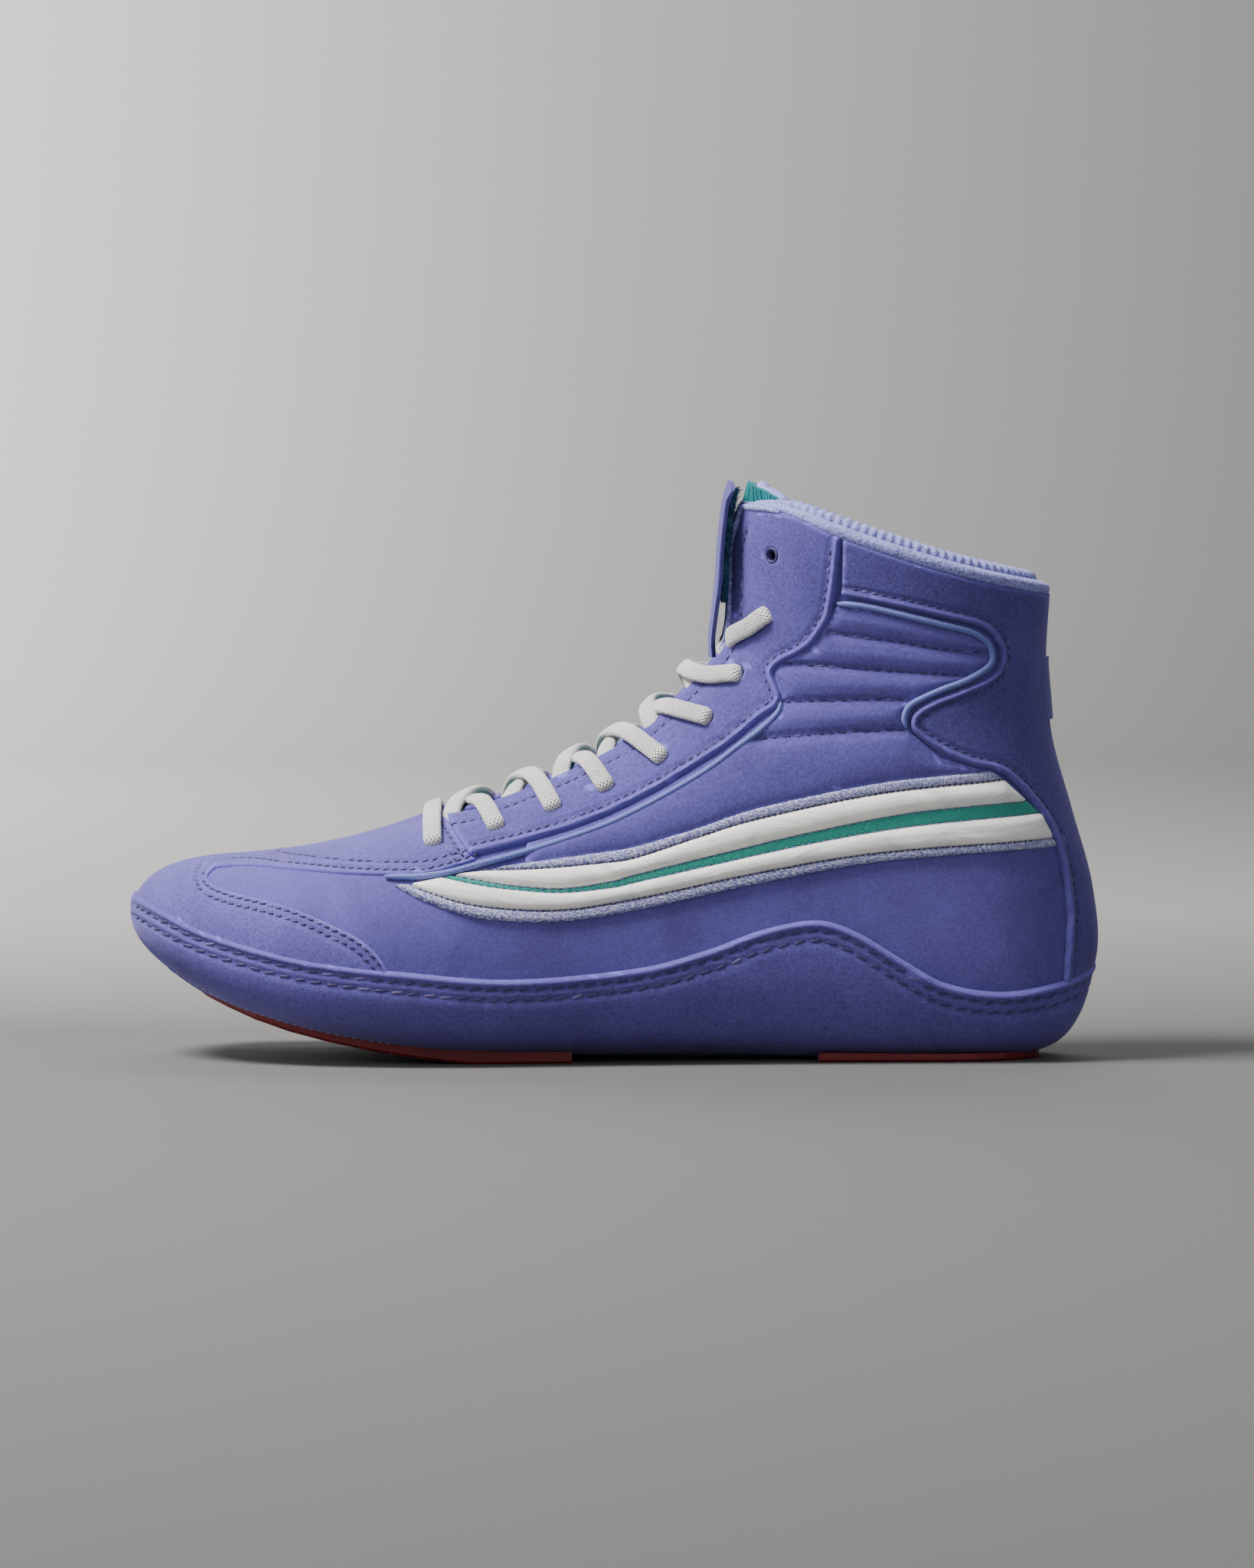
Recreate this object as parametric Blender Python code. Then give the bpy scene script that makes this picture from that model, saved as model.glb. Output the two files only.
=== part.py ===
"""A laced boxing boot for the left foot, as separate sewn and moulded pieces.

Metres, +Z up, toe towards -X, outer (lateral) side towards -Y. The origin is on the
floor, under the middle of the boot. Lengths below are in millimetres and MM turns
them into metres.
"""
import math

import bmesh
import bpy
from mathutils import Vector

MM = 0.001
GAP = 0.2          # half of the clearance between neighbouring panels

# Depths of the layers of the upper under its outer face: (outer, inner).
OVERLAY = (0.0, 1.3)
STRIPE = (-0.5, 1.3)
PIPING = (-0.7, 1.3)
MAIN = (1.7, 2.7)
STIFFENER = (3.1, 4.0)
LINING = (4.4, 5.3)
INSIDE = 5.7

# Sections of the upper, toe to heel as a fan of planes. Each holds the top or front
# point, the bottom or back point, the half width, the sideways shift, the height of
# the widest place as a share, and the squareness of the lower and upper halves.
SECTIONS = [
    ((-145.0, 44.5), (-145.0, 44.5), 0.0, 8.0, 0.45, 2.3, 2.1),
    ((-143.6, 49.0), (-143.6, 38.2), 11.5, 8.0, 0.44, 2.4, 2.1),
    ((-139.5, 53.8), (-139.5, 32.6), 22.0, 7.6, 0.43, 2.6, 2.1),
    ((-132.5, 57.6), (-132.5, 27.0), 31.5, 7.0, 0.42, 2.9, 2.1),
    ((-122.0, 60.0), (-122.0, 20.5), 39.0, 6.0, 0.41, 3.2, 2.15),
    ((-108.0, 61.3), (-108.0, 14.6), 44.5, 3.8, 0.40, 3.4, 2.2),
    ((-91.0, 63.5), (-91.0, 9.8), 48.2, 1.6, 0.39, 3.5, 2.2),
    ((-72.0, 68.0), (-72.0, 6.0), 50.0, 0.1, 0.38, 3.5, 2.2),
    ((-52.0, 74.8), (-51.0, 3.4), 49.2, -0.6, 0.36, 3.5, 2.2),
    ((-31.0, 82.0), (-28.0, 2.4), 45.5, -0.8, 0.35, 3.5, 2.2),
    ((-11.0, 90.5), (-2.0, 2.4), 41.5, -1.2, 0.36, 3.4, 2.2),
    ((7.0, 101.0), (28.0, 2.4), 38.5, -1.2, 0.38, 3.3, 2.2),
    ((21.0, 114.0), (62.0, 1.5), 36.5, -0.8, 0.42, 3.4, 2.2),
    ((31.0, 126.5), (98.0, 1.2), 35.5, -0.4, 0.46, 3.6, 2.2),
    ((33.6, 138.0), (133.0, 5.2), 35.0, 0.0, 0.50, 3.4, 2.2),
    ((34.0, 147.0), (145.0, 28.5), 35.0, 0.0, 0.52, 2.9, 2.2),
    ((34.4, 154.0), (144.4, 51.0), 35.5, 0.0, 0.52, 2.6, 2.2),
    ((34.8, 159.0), (138.0, 75.0), 36.0, 0.0, 0.52, 2.3, 2.2),
    ((35.2, 163.0), (132.0, 97.0), 36.5, 0.0, 0.51, 2.2, 2.2),
    ((35.6, 166.0), (130.2, 119.0), 37.0, 0.0, 0.50, 2.1, 2.2),
    ((36.2, 168.4), (131.3, 140.6), 37.0, 0.0, 0.50, 2.1, 2.2),
]
LAST = len(SECTIONS) - 1
RINGS = 21         # steps of a panel along the boot
# Places round a section, from the sole centre to the throat centre, closer at the ends.
AROUND = (0.0, 0.06, 0.13, 0.26, 0.43, 0.61, 0.77, 0.88, 0.945, 0.976, 1.0)

# Side-view outlines: points of smooth curves, (x, z).
RAND_TOP = [(-150, 48.6), (-142, 48.4), (-134, 45.4), (-122, 40.2), (-106, 35.5), (-88, 31.7),
            (-59, 28.4), (-29, 26.2), (7, 29.1), (28, 34.4), (45, 40.5), (61, 43.2), (73, 39.6),
            (88, 30.5), (100, 24), (117, 21.4), (135, 24.5), (150, 31)]
SOLE_LINE = [(-150, 36), (-141, 33.6), (-132.5, 27), (-122, 20.5), (-108, 14.6), (-91, 9.8),
             (-72, 6), (-51, 3.4), (-28, 2.4), (28, 2.4), (62, 1.5), (98, 1.2), (150, 1.2)]
TOE_CAP_EDGE = [(-65.7, 28.9), (-70, 35.5), (-78, 41.4), (-92, 47.3), (-107, 51.2), (-118, 53.6),
                (-121, 56.2), (-118, 59), (-108, 59.9), (-94, 59.1), (-75, 58), (-57, 58.3),
                (-40, 62.6)]
VAMP_SEAM = [(-43.5, 64), (-47.5, 70), (-52, 78)]
THROAT = [(-53.4, 72), (-41.4, 75.3), (-25, 81.7), (-10.9, 87.7), (4.7, 95.9), (14, 103.2),
          (25.2, 114.3), (32.6, 122.5), (35.6, 130), (36.3, 142), (36.6, 154), (38.4, 161.6)]
EYESTAY_REAR = [(68, 157), (66.6, 142), (64.5, 132.4), (60.1, 125.6), (51.2, 119.8),
                (48.3, 116.8), (50.4, 109.4), (45, 104), (34.7, 95.2), (12, 80.9), (-4.5, 73.1),
                (-23, 67.1), (-41, 63)]
EYESTAY_PIPING = [(51.2, 107), (48.4, 103.4), (36.8, 94.1), (16.1, 80.5), (-4.5, 70.6),
                  (-30.4, 62.3), (-48.1, 57.8), (-67.6, 56.3)]
ANKLE_PIPING = [(66.9, 137.5), (89.3, 133.4), (106.7, 128.9), (113, 122.5), (105.7, 114.7),
                (92, 109.2), (87, 103.7), (87.8, 100)]
HEEL_PANEL_EDGE = [(68.4, 139.3), (89.6, 134.9), (108.4, 130.3), (114.6, 122.4), (105.5, 113.6),
                   (92.2, 108.1), (89, 102.8), (98, 92.4), (108, 88.9), (116.6, 87.2),
                   (125.6, 78.6), (131.5, 68.1), (135.4, 55.4), (136.2, 41.3), (135, 25.5)]
STRIPE_EDGES = [
    [(-65.2, 54.4), (-54.4, 49.3), (-37.4, 44.3), (-16.2, 43.3), (7, 46.5), (43.6, 54.2),
     (80.1, 60.6), (133, 64.8)],
    [(-60.5, 54.4), (-53.3, 51.6), (-39.5, 48), (-16.2, 46.6), (7, 49.8), (43.6, 57.4), (80.1, 63.3),
     (132, 67.2)],
    [(-51.5, 55.4), (-40, 52.2), (-24.1, 50.8), (-8.2, 51), (7, 52.9), (43.6, 62.7), (80.1, 69.8),
     (128, 74.6)],
    [(-46.5, 56.6), (-37, 54.2), (-24.1, 53), (-8.2, 53.4), (7, 56), (43.6, 67), (80.1, 75.7),
     (124, 78.4)],
    [(-38.5, 58.4), (-21.5, 58.9), (-4, 60.4), (7, 62), (25.3, 67.9), (43.6, 73.4), (80.1, 81),
     (117, 85)],
    [(-32.1, 59.8), (-18.8, 61.6), (-4, 63.6), (7, 65.4), (25.3, 70.7), (43.6, 76.7), (80.1, 84.2),
     (113, 87.6)],
]
COLLAR_LINE = [(38, 166), (49.8, 164.6), (68, 157), (88, 150.2), (107, 144.8), (131, 139.6),
               (150, 136)]
EYELETS = [(-52.6, 66.7), (-34.8, 71.2), (-17.9, 77), (-2.2, 83.1), (14.1, 91.7),
           (28.1, 103.2), (37.6, 116.4), (45.6, 133.3)]

# Sole, tongue, flap and lace.
OUTSOLE_FLOOR = [(-131, 25.6), (-122, 19.3), (-108, 13.4), (-96, 9.5), (-84, 6.5), (-72, 4.1),
                 (-60, 2.1), (-48, 0.5), (-43, 0.0)]
OUTSOLE_SPAN = (-131.0, 129.0)
ARCH_SPAN = (-12.0, 62.0)
OUTSOLE_TOP = 1.3     # above the sole line
OUTSOLE_WIDTH = 0.70  # share of the upper's half width
OUTSOLE_BEVEL = 0.8
SOLE_SECTIONS = 14    # sections whose lower points run along the sole
TONGUE_HALF_WIDTH = 30.0
TONGUE_START = 8.35                # sections where the lower tongue starts and ends
TONGUE_END = 13.6
TONGUE_RIDGE_END = 12.0            # its raised middle stops here, below the flap
TONGUE_DEPTHS = (6.6, 9.8)         # outer and inner face under the skin of the boot
TONGUE_RIDGE = (8.0, 3.4)          # half width and height of the raised middle
TONGUE_HINGE = (39.0, 137.0)
TONGUE_LEVELS = [(138.0, 37.2, 23.5), (145.0, 37.0, 23.5), (153.0, 37.2, 23.0),
                 (161.0, 38.2, 21.0), (168.5, 39.6, 19.5)]     # height, front, half width
TONGUE_WALL = 4.2
TONGUE_PLAN = (84.0, 43.4, 29.6)   # centre and half axes of the ellipse its wings follow
ROLL_HALF_WIDTH = 19.0
ROLL_HEIGHT = 172.0
COLLAR_REACH = 0.84                # how far round the opening the collar goes
# The flap's root is sewn to the boot, and the flap folds forward over the laces above it.
FLAP_ROOT_PROFILE = [(29.0, 120.6), (28.9, 127.5)]
FLAP_HINGE = (28.9, 127.8)
FLAP_PROFILE = [(28.9, 127.9), (29.6, 133.9), (30.6, 143.3), (31.2, 154), (32.6, 166.5),
                (34.6, 173.9)]
FLAP_HALF_WIDTH = 21.0
FLAP_THICKNESS = 1.5
FLAP_ROOT_HALF_WIDTH = 7.5
FLAP_WIDENING = (124.0, 139.0)     # heights between which the flap gets wider
FLAP_CORNER = (0.85, 3.0)          # where across the top corners start, and their drop
HOOK_PROFILE = [(32.0, 141.5), (32.4, 145), (33.0, 154), (34.3, 165.5), (35.6, 170.5)]
HOOK_THICKNESS = 1.3
HOOK_HALF_WIDTH = 16.0
LACE_RADIUS = 1.2
LACE_DIP_SECTION = 13.0             # where the top strand passes behind the flap
LACE_DIP_RISE = -2.4

PURPLE = (0.105, 0.085, 0.36)
LILAC = (0.46, 0.42, 0.66)
WHITE = (0.78, 0.79, 0.80)
TEAL = (0.03, 0.33, 0.36)
SKY = (0.30, 0.50, 0.78)
RED = (0.55, 0.03, 0.05)
NAVY = (0.02, 0.025, 0.09)
BLACK = (0.02, 0.02, 0.025)
CREAM = (0.62, 0.55, 0.42)


# ---------------------------------------------------------------- helpers
def catmull(values, at):
    """Catmull-Rom through the values at 0, 1, 2 ..., reading at any place between them."""
    low = max(0, min(int(at), len(values) - 2))
    t = at - low
    before = values[low - 1] if low else 2 * values[0] - values[1]
    a = values[low]
    b = values[low + 1]
    after = values[low + 2] if low + 2 < len(values) else 2 * b - a
    slope_a = (b - before) / 2
    slope_b = (after - a) / 2
    return (a * (2 * t**3 - 3 * t**2 + 1) + slope_a * (t**3 - 2 * t**2 + t)
            + b * (3 * t**2 - 2 * t**3) + slope_b * (t**3 - t**2))


def smooth(points, steps=3):
    """A smooth curve through points of any dimension, as a longer list of points."""
    count = (len(points) - 1) * steps
    columns = [[float(p[axis]) for p in points] for axis in range(len(points[0]))]
    return [tuple(catmull(c, k / steps) for c in columns) for k in range(count + 1)]


def height_at(line, x):
    """Height of a side-view line at x."""
    run = sorted(line)
    if x <= run[0][0]:
        return run[0][1]
    for (x0, z0), (x1, z1) in zip(run, run[1:]):
        if x <= x1:
            return z0 + (z1 - z0) * (x - x0) / (x1 - x0)
    return run[-1][1]


def inset(outline, amount):
    """A closed outline moved inwards by an amount, whichever way round it runs."""
    area = sum(a[0] * b[1] - b[0] * a[1] for a, b in zip(outline, outline[1:] + outline[:1]))
    turn = 1 if area > 0 else -1
    moved = []
    for k, point in enumerate(outline):
        ahead = Vector(outline[(k + 1) % len(outline)]) - Vector(point)
        behind = Vector(point) - Vector(outline[k - 1])
        along = (ahead.normalized() + behind.normalized())
        if along.length < 1e-6:
            along = ahead
        along.normalize()
        moved.append((point[0] - turn * along.y * amount, point[1] + turn * along.x * amount))
    return moved


# ---------------------------------------------------------------- the upper's surface
def section_values(at):
    """F, B, half width, shift, widest height and the two exponents at a section number."""
    rows = [(f[0], f[1], b[0], b[1], w, c, t, nb, nt) for f, b, w, c, t, nb, nt in SECTIONS]
    first = rows[1]
    mirror = (first[2], first[3], first[0], first[1], -first[4]) + first[5:]
    columns = list(zip(mirror, *rows))
    return [catmull(list(column), at + 1) for column in columns]


_ARCS = {}


def half_section(at):
    """Points of one half of a section from the sole centre to the throat centre: (y, share)."""
    key = round(at, 4)
    if key not in _ARCS:
        _, _, _, _, width, _, widest, low, high = section_values(at)
        points = []
        for k in range(33):
            angle = math.pi / 2 * k / 32
            side, up = math.sin(angle) ** (2 / low), math.cos(angle) ** (2 / low)
            points.append((abs(width) * side, widest * (1 - up)))
        for k in range(1, 33):
            angle = math.pi / 2 * k / 32
            side, up = math.cos(angle) ** (2 / high), math.sin(angle) ** (2 / high)
            points.append((abs(width) * side, widest + (1 - widest) * up))
        _ARCS[key] = points
    return _ARCS[key]


def skin(at, v):
    """A point of the outer face: v is 0 at the sole centre, -1 or 1 at the throat centre."""
    fx, fz, bx, bz, _, shift, _, _, _ = section_values(at)
    tall = math.hypot(fx - bx, fz - bz)
    points = half_section(at)
    lengths = [0.0]
    for a, b in zip(points, points[1:]):
        lengths.append(lengths[-1] + math.hypot(b[0] - a[0], (b[1] - a[1]) * tall))
    want = min(abs(v), 2 - abs(v)) * lengths[-1]
    side = 1 if (v > 0) == (abs(v) <= 1) else -1
    k = 0
    while k < len(points) - 2 and lengths[k + 1] < want:
        k += 1
    part = (want - lengths[k]) / max(lengths[k + 1] - lengths[k], 1e-9)
    y = points[k][0] + (points[k + 1][0] - points[k][0]) * part
    share = points[k][1] + (points[k + 1][1] - points[k][1]) * part
    return Vector((bx + (fx - bx) * share, shift + side * y, bz + (fz - bz) * share))


def outward(at, v):
    """Unit normal of the outer face."""
    step = 0.05
    at = max(at, 0.12)
    along = skin(min(at + step, LAST), v) - skin(max(at - step, 0.02), v)
    across = skin(at, v + step) - skin(at, v - step)
    normal = across.cross(along)
    return normal.normalized()


def under(at, v, depth):
    """A point that lies this far under the outer face."""
    if at < 0.02:
        return skin(0, 0) + Vector((depth, 0, 0))
    return skin(at, v) - outward(at, v) * depth


# ---------------------------------------------------------------- object making
def collection(name, hidden=False):
    made = bpy.data.collections.new(name)
    made.hide_render = hidden
    bpy.context.scene.collection.children.link(made)
    return made


def material(name, colour, roughness):
    made = bpy.data.materials.get(name)
    if made:
        return made
    made = bpy.data.materials.new(name)
    made.use_nodes = True
    shader = made.node_tree.nodes["Principled BSDF"]
    shader.inputs["Base Color"].default_value = (*colour, 1)
    shader.inputs["Roughness"].default_value = roughness
    return made


def add_object(name, vertices, faces, into, finish=None):
    """An object from points in millimetres, its faces turned outwards."""
    mesh = bpy.data.meshes.new(name)
    mesh.from_pydata([[c * MM for c in p] for p in vertices], [], faces)
    shape = bmesh.new()
    shape.from_mesh(mesh)
    bmesh.ops.remove_doubles(shape, verts=shape.verts, dist=1e-6)
    bmesh.ops.recalc_face_normals(shape, faces=shape.faces)
    if shape.calc_volume(signed=True) < 0:
        bmesh.ops.reverse_faces(shape, faces=shape.faces)
    shape.to_mesh(mesh)
    shape.free()
    made = bpy.data.objects.new(name, mesh)
    into.objects.link(made)
    if finish:
        mesh.materials.append(finish)
        mesh.shade_smooth()
        mesh.set_sharp_from_angle(angle=math.radians(40))
    if into.hide_render:
        made.hide_render = True
        made.display_type = "WIRE"
    return made


def tube_faces(count, around, start=0):
    """Faces between rings of the same number of points, and caps at both ends."""
    faces = []
    for ring in range(count - 1):
        a = start + ring * around
        for k in range(around):
            nxt = (k + 1) % around
            faces.append((a + k, a + nxt, a + around + nxt, a + around + k))
    faces.append(tuple(range(start, start + around)))
    faces.append(tuple(range(start + (count - 1) * around, start + count * around)))
    return faces


def loft(name, rings, into, finish=None):
    """A closed body through rings of equal length."""
    points = [p for ring in rings for p in ring]
    return add_object(name, points, tube_faces(len(rings), len(rings[0])), into, finish)


def prism(name, outline, y0, y1):
    """A side-view outline drawn through from y0 to y1, as a cutter."""
    rings = [[(x, y, z) for x, z in outline] for y in (y0, y1)]
    return loft(name, rings, CUTTERS)


def ring_numbers():
    """Section numbers of the rings, closer together round the toe and the heel."""
    return [LAST * (k / RINGS) ** 1.06 for k in range(RINGS + 1)]


def split_quads(faces):
    """Each four-sided face as two triangles on the same diagonal."""
    split = []
    for face in faces:
        if len(face) == 4:
            split += [(face[0], face[1], face[2]), (face[0], face[2], face[3])]
        else:
            split.append(face)
    return split


def places_around():
    return [-v for v in AROUND[:0:-1]] + list(AROUND[:-1])


def shell(name, layer, finish):
    """A whole closed layer of the upper, from the toe to the collar line."""
    numbers = [max(n, 0.25) for n in ring_numbers()]
    sides = places_around()
    points = []
    for depth in layer:
        points.append(under(0, 0, depth))
        for number in numbers:
            points += [under(number, v, depth) for v in sides]
    around = len(sides)
    half = 1 + around * len(numbers)
    faces = []
    for start in (0, half):
        faces += [(start, start + 1 + k, start + 1 + (k + 1) % around) for k in range(around)]
        faces += tube_faces(len(numbers), around, start + 1)[:-2]
    outer = 1 + around * (len(numbers) - 1)
    for k in range(around):
        nxt = (k + 1) % around
        faces.append((outer + k, outer + nxt, half + outer + nxt, half + outer + k))
    return add_object(name, points, split_quads(faces), BOOT, finish)


def core(name, depth, finish):
    """The space inside the upper as one solid, from the toe to the collar line."""
    numbers = [max(n, 0.25) for n in ring_numbers()]
    sides = places_around()
    points = [under(n, v, depth) for n in numbers for v in sides]
    faces = tube_faces(len(numbers), len(sides))
    return add_object(name, points, split_quads(faces), BOOT, finish)


def cut(target, cutter, itself=False):
    boolean = target.modifiers.new(cutter.name, "BOOLEAN")
    boolean.operation = "INTERSECT"
    boolean.solver = "EXACT"
    boolean.object = cutter
    boolean.use_self = itself


def panel(name, layer, outline, finish, sides=(-90, 90)):
    """A piece of one layer inside a side-view outline."""
    made = shell(name, layer, finish)
    cut(made, prism("cut_" + name, inset(outline, GAP), *sides), itself=layer == LINING)
    return made


def filler(name, depth, outline, finish):
    """A flat piece that fills the upper at one depth between two side-view lines."""
    made = core(name, depth, finish)
    cut(made, prism("cut_" + name, outline, -90, 90))
    return made


def sweep(name, path, profile, finish):
    """A profile (across, up) carried along a path of (place, across, up) frames."""
    rings = [[place + across * a + up * b for a, b in profile] for place, across, up in path]
    return loft(name, rings, BOOT, finish)


def oval(across, up, count=8):
    angles = [2 * math.pi * k / count for k in range(count)]
    return [(across * math.cos(a), up * math.sin(a)) for a in angles]


# ---------------------------------------------------------------- outlines
def raised(line, amount):
    return [(x, z + amount) for x, z in line]


def outline(*lines):
    """Curves joined end to end into one closed outline."""
    return [point for line in lines for point in line]


def band(low, high):
    """The outline between two lines that both run the same way."""
    return outline(low, high[::-1])


def sole_range(low, high):
    return outline(raised(SOLE_LINE, low), raised(SOLE_LINE, high)[::-1])


# ---------------------------------------------------------------- sole
def sole_half_width(x, start, end, round_start, round_end):
    """Half width of the outsole at x, rounded at the ends that are not square."""
    low = max(n for n in range(SOLE_SECTIONS) if SECTIONS[n][1][0] <= x)
    x0, x1 = SECTIONS[low][1][0], SECTIONS[low + 1][1][0]
    share = (x - x0) / (x1 - x0)
    width = SECTIONS[low][2] + (SECTIONS[low + 1][2] - SECTIONS[low][2]) * share
    shift = SECTIONS[low][3] + (SECTIONS[low + 1][3] - SECTIONS[low][3]) * share
    width *= OUTSOLE_WIDTH
    if round_start and x < start + round_start:
        width *= math.sqrt(max(0.0, 1 - ((start + round_start - x) / round_start) ** 2))
    if round_end and x > end - round_end:
        width *= math.sqrt(max(0.0, 1 - ((x - end + round_end) / round_end) ** 2))
    return max(width, OUTSOLE_BEVEL), shift


def outsole(name, start, end, round_start, round_end, steps):
    rings = []
    for k in range(steps + 1):
        share = k / steps
        if round_start:
            share = 1 - math.cos(share * math.pi / 2)
        if round_end:
            share = math.sin(share * math.pi / 2)
        x = start + (end - start) * share
        width, shift = sole_half_width(x, start, end, round_start, round_end)
        low = max(0.0, height_at(OUTSOLE_FLOOR, x))
        high = height_at(SOLE_LINE, x) + OUTSOLE_TOP
        bevel = min(OUTSOLE_BEVEL, width / 3)
        wall = low + OUTSOLE_BEVEL
        rings.append([(x, shift - width, wall), (x, shift - width + bevel, low),
                      (x, shift + width - bevel, low), (x, shift + width, wall),
                      (x, shift + width, high), (x, shift - width, high)])
    return loft(name, rings, BOOT, material("red_rubber", RED, 0.55))


def make_sole():
    start, end = OUTSOLE_SPAN
    outsole("outsole_forefoot", start, ARCH_SPAN[0], 24.0, 0.0, 12)
    outsole("outsole_heel", ARCH_SPAN[1], end, 0.0, 26.0, 8)
    filler("midsole", 1.7, sole_range(-3, 3.6), material("black_midsole", BLACK, 0.7))
    filler("insole_board", 3.1, sole_range(3.9, 6.1), material("fibre_board", CREAM, 0.9))
    filler("footbed", INSIDE, sole_range(6.4, 10.0), material("footbed_cloth", LILAC, 0.95))


# ---------------------------------------------------------------- upper
def make_upper():
    suede = material("purple_suede", PURPLE, 0.9)
    cloth = material("purple_cloth", PURPLE, 0.85)
    knit = material("lilac_knit", LILAC, 0.95)
    top = smooth(RAND_TOP, 2)
    panel("rand", OVERLAY, outline(top, raised(SOLE_LINE, 2.2)[::-1]), suede)
    cap_edge = smooth(TOE_CAP_EDGE, 2)
    front_rand = [p for p in top if p[0] < TOE_CAP_EDGE[0][0]]
    panel("toe_vamp", OVERLAY,
          outline(front_rand, cap_edge, VAMP_SEAM, [(-52, 95), (-150, 95)]), suede)
    panel("toe_puff", MAIN,
          outline([(-150, 95), (-124.2, 95), (-124.2, 26.4)],
                  [p for p in raised(SOLE_LINE, 4.4)[::-1] if p[0] < -125]),
          material("fibre_board", CREAM, 0.9))
    throat = smooth(THROAT, 2)
    top_line = smooth(COLLAR_LINE, 2)
    low_main = [p for p in raised(SOLE_LINE, 4.2) if -123.8 < p[0]]
    inner_top = [p for p in top_line if p[0] > 44]
    main_throat = inset_line(throat, 2.8)
    main = outline(low_main, inner_top[::-1], main_throat[::-1],
                   [(-54, 95), (-123.8, 95), (-123.8, 26)])
    for side, span in (("lateral", (-90, -0.2)), ("medial", (0.2, 90))):
        panel("quarter_" + side, MAIN, main, cloth, span)
    panel("heel_counter", STIFFENER,
          [(96, 9), (150, 9), (150, 70), (118, 70), (104, 52), (97, 30)],
          material("fibre_board", CREAM, 0.9))
    panel("vamp_lining", LINING,
          [(-150, 95), (-56, 95), (-50, 62), (-44, 40), (-40, 10.6)]
          + [p for p in raised(SOLE_LINE, 7.7)[::-1] if p[0] < -45], knit)
    low_lining = [p for p in raised(SOLE_LINE, 7.7) if p[0] > -30]
    lining_throat = [p for p in inset_line(throat, 6.2) if p[0] > -48]
    lining = outline([(-39.4, 10.6)], low_lining, inner_top[::-1], lining_throat[::-1],
                     [(-49.4, 62), (-43.4, 40)])
    for side, span in (("lateral", (-90, -0.2)), ("medial", (0.2, 90))):
        panel("lining_" + side, LINING, lining, knit, span)


def make_side(side, span):
    """The overlays that both sides of the boot have."""
    suede = material("purple_suede", PURPLE, 0.9)
    quilt = material("purple_quilt", PURPLE, 0.8)
    sky = material("sky_piping", SKY, 0.6)
    throat = smooth(THROAT, 2)
    rear = smooth(EYESTAY_REAR, 2)
    top_line = [p for p in smooth(COLLAR_LINE, 2) if p[0] < 67]
    panel("eyestay_" + side, OVERLAY,
          outline(throat[2:], top_line, rear, VAMP_SEAM[:-1], [(-48.6, 72.6)]), suede, span)
    piping = smooth(EYESTAY_PIPING, 2)
    panel("eyestay_piping_" + side, PIPING,
          outline(inset_line(piping, 0.9), inset_line(piping, -0.9)[::-1]), sky, span)
    border = smooth(STRIPE_EDGES[-1], 2)
    ankle = smooth(ANKLE_PIPING, 2)
    lobe = inset_line(ankle, 1.2)
    panel("ankle_panel_" + side, OVERLAY,
          outline(lobe, [(98, 90.8), (108, 88.4)], [p for p in border[::-1] if p[0] > -26],
                  inset_line([p for p in piping if p[0] > -26], -1.3)[::-1],
                  [(52.2, 109.6), (50, 116), (52.8, 119.2), (61.9, 125), (66.2, 132)]),
          quilt, span)
    panel("ankle_piping_" + side, PIPING,
          outline(inset_line(ankle, 0.9), inset_line(ankle, -0.9)[::-1]), sky, span)
    white = material("white_leather", WHITE, 0.45)
    teal = material("teal_satin", TEAL, 0.5)
    satin = material("lilac_satin", LILAC, 0.4)
    names = ("stripe_border_lower", "stripe_pad_lower", "stripe_inlay", "stripe_pad_upper",
             "stripe_border_upper")
    finishes = (satin, white, teal, white, satin)
    for k, name in enumerate(names):
        panel(f"{name}_{side}", STRIPE, band(STRIPE_EDGES[k], STRIPE_EDGES[k + 1]),
              finishes[k], span)


def inset_line(line, amount):
    """An open line moved sideways, to its right when the amount is above zero."""
    moved = []
    for k, point in enumerate(line):
        ahead = Vector(line[min(k + 1, len(line) - 1)])
        behind = Vector(line[max(k - 1, 0)])
        along = (ahead - behind).normalized()
        moved.append((point[0] + along.y * amount, point[1] - along.x * amount))
    return moved


def make_heel():
    suede = material("purple_suede", PURPLE, 0.9)
    edge = smooth(HEEL_PANEL_EDGE, 2)
    top_line = smooth(COLLAR_LINE, 2)
    rand_end = [p for p in smooth(RAND_TOP, 2) if p[0] > 136]
    panel("heel_panel", OVERLAY,
          outline([(68.6, 156.6)], [p for p in top_line if p[0] > 69], rand_end[::-1], edge[::-1]),
          suede)
    panel("heel_badge", (-1.5, -0.3), [(118, 121), (150, 121), (150, 102), (118, 102)],
          material("badge_rubber", TEAL, 0.4), (-8.5, 8.5))
    collar_up = Vector((25.2, 0, 91.3)).normalized()
    path = []
    for k in range(29):
        v = COLLAR_REACH * (k / 14 - 1)
        place = under(LAST, v, 2.9)
        place.z = height_at(top_line, place.x) + 2.5
        path.append((place, outward(LAST, v), collar_up))
    profile = [(-2.9, -1.6), (-1.6, -2.1), (1.6, -2.1), (2.9, -1.6), (3.2, 0.2), (2.2, 2.0),
               (0.6, 2.8), (-1.2, 2.8), (-2.8, 1.8), (-3.1, 0.0)]
    sweep("collar", path, profile, material("lilac_knit", LILAC, 0.95))


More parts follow.
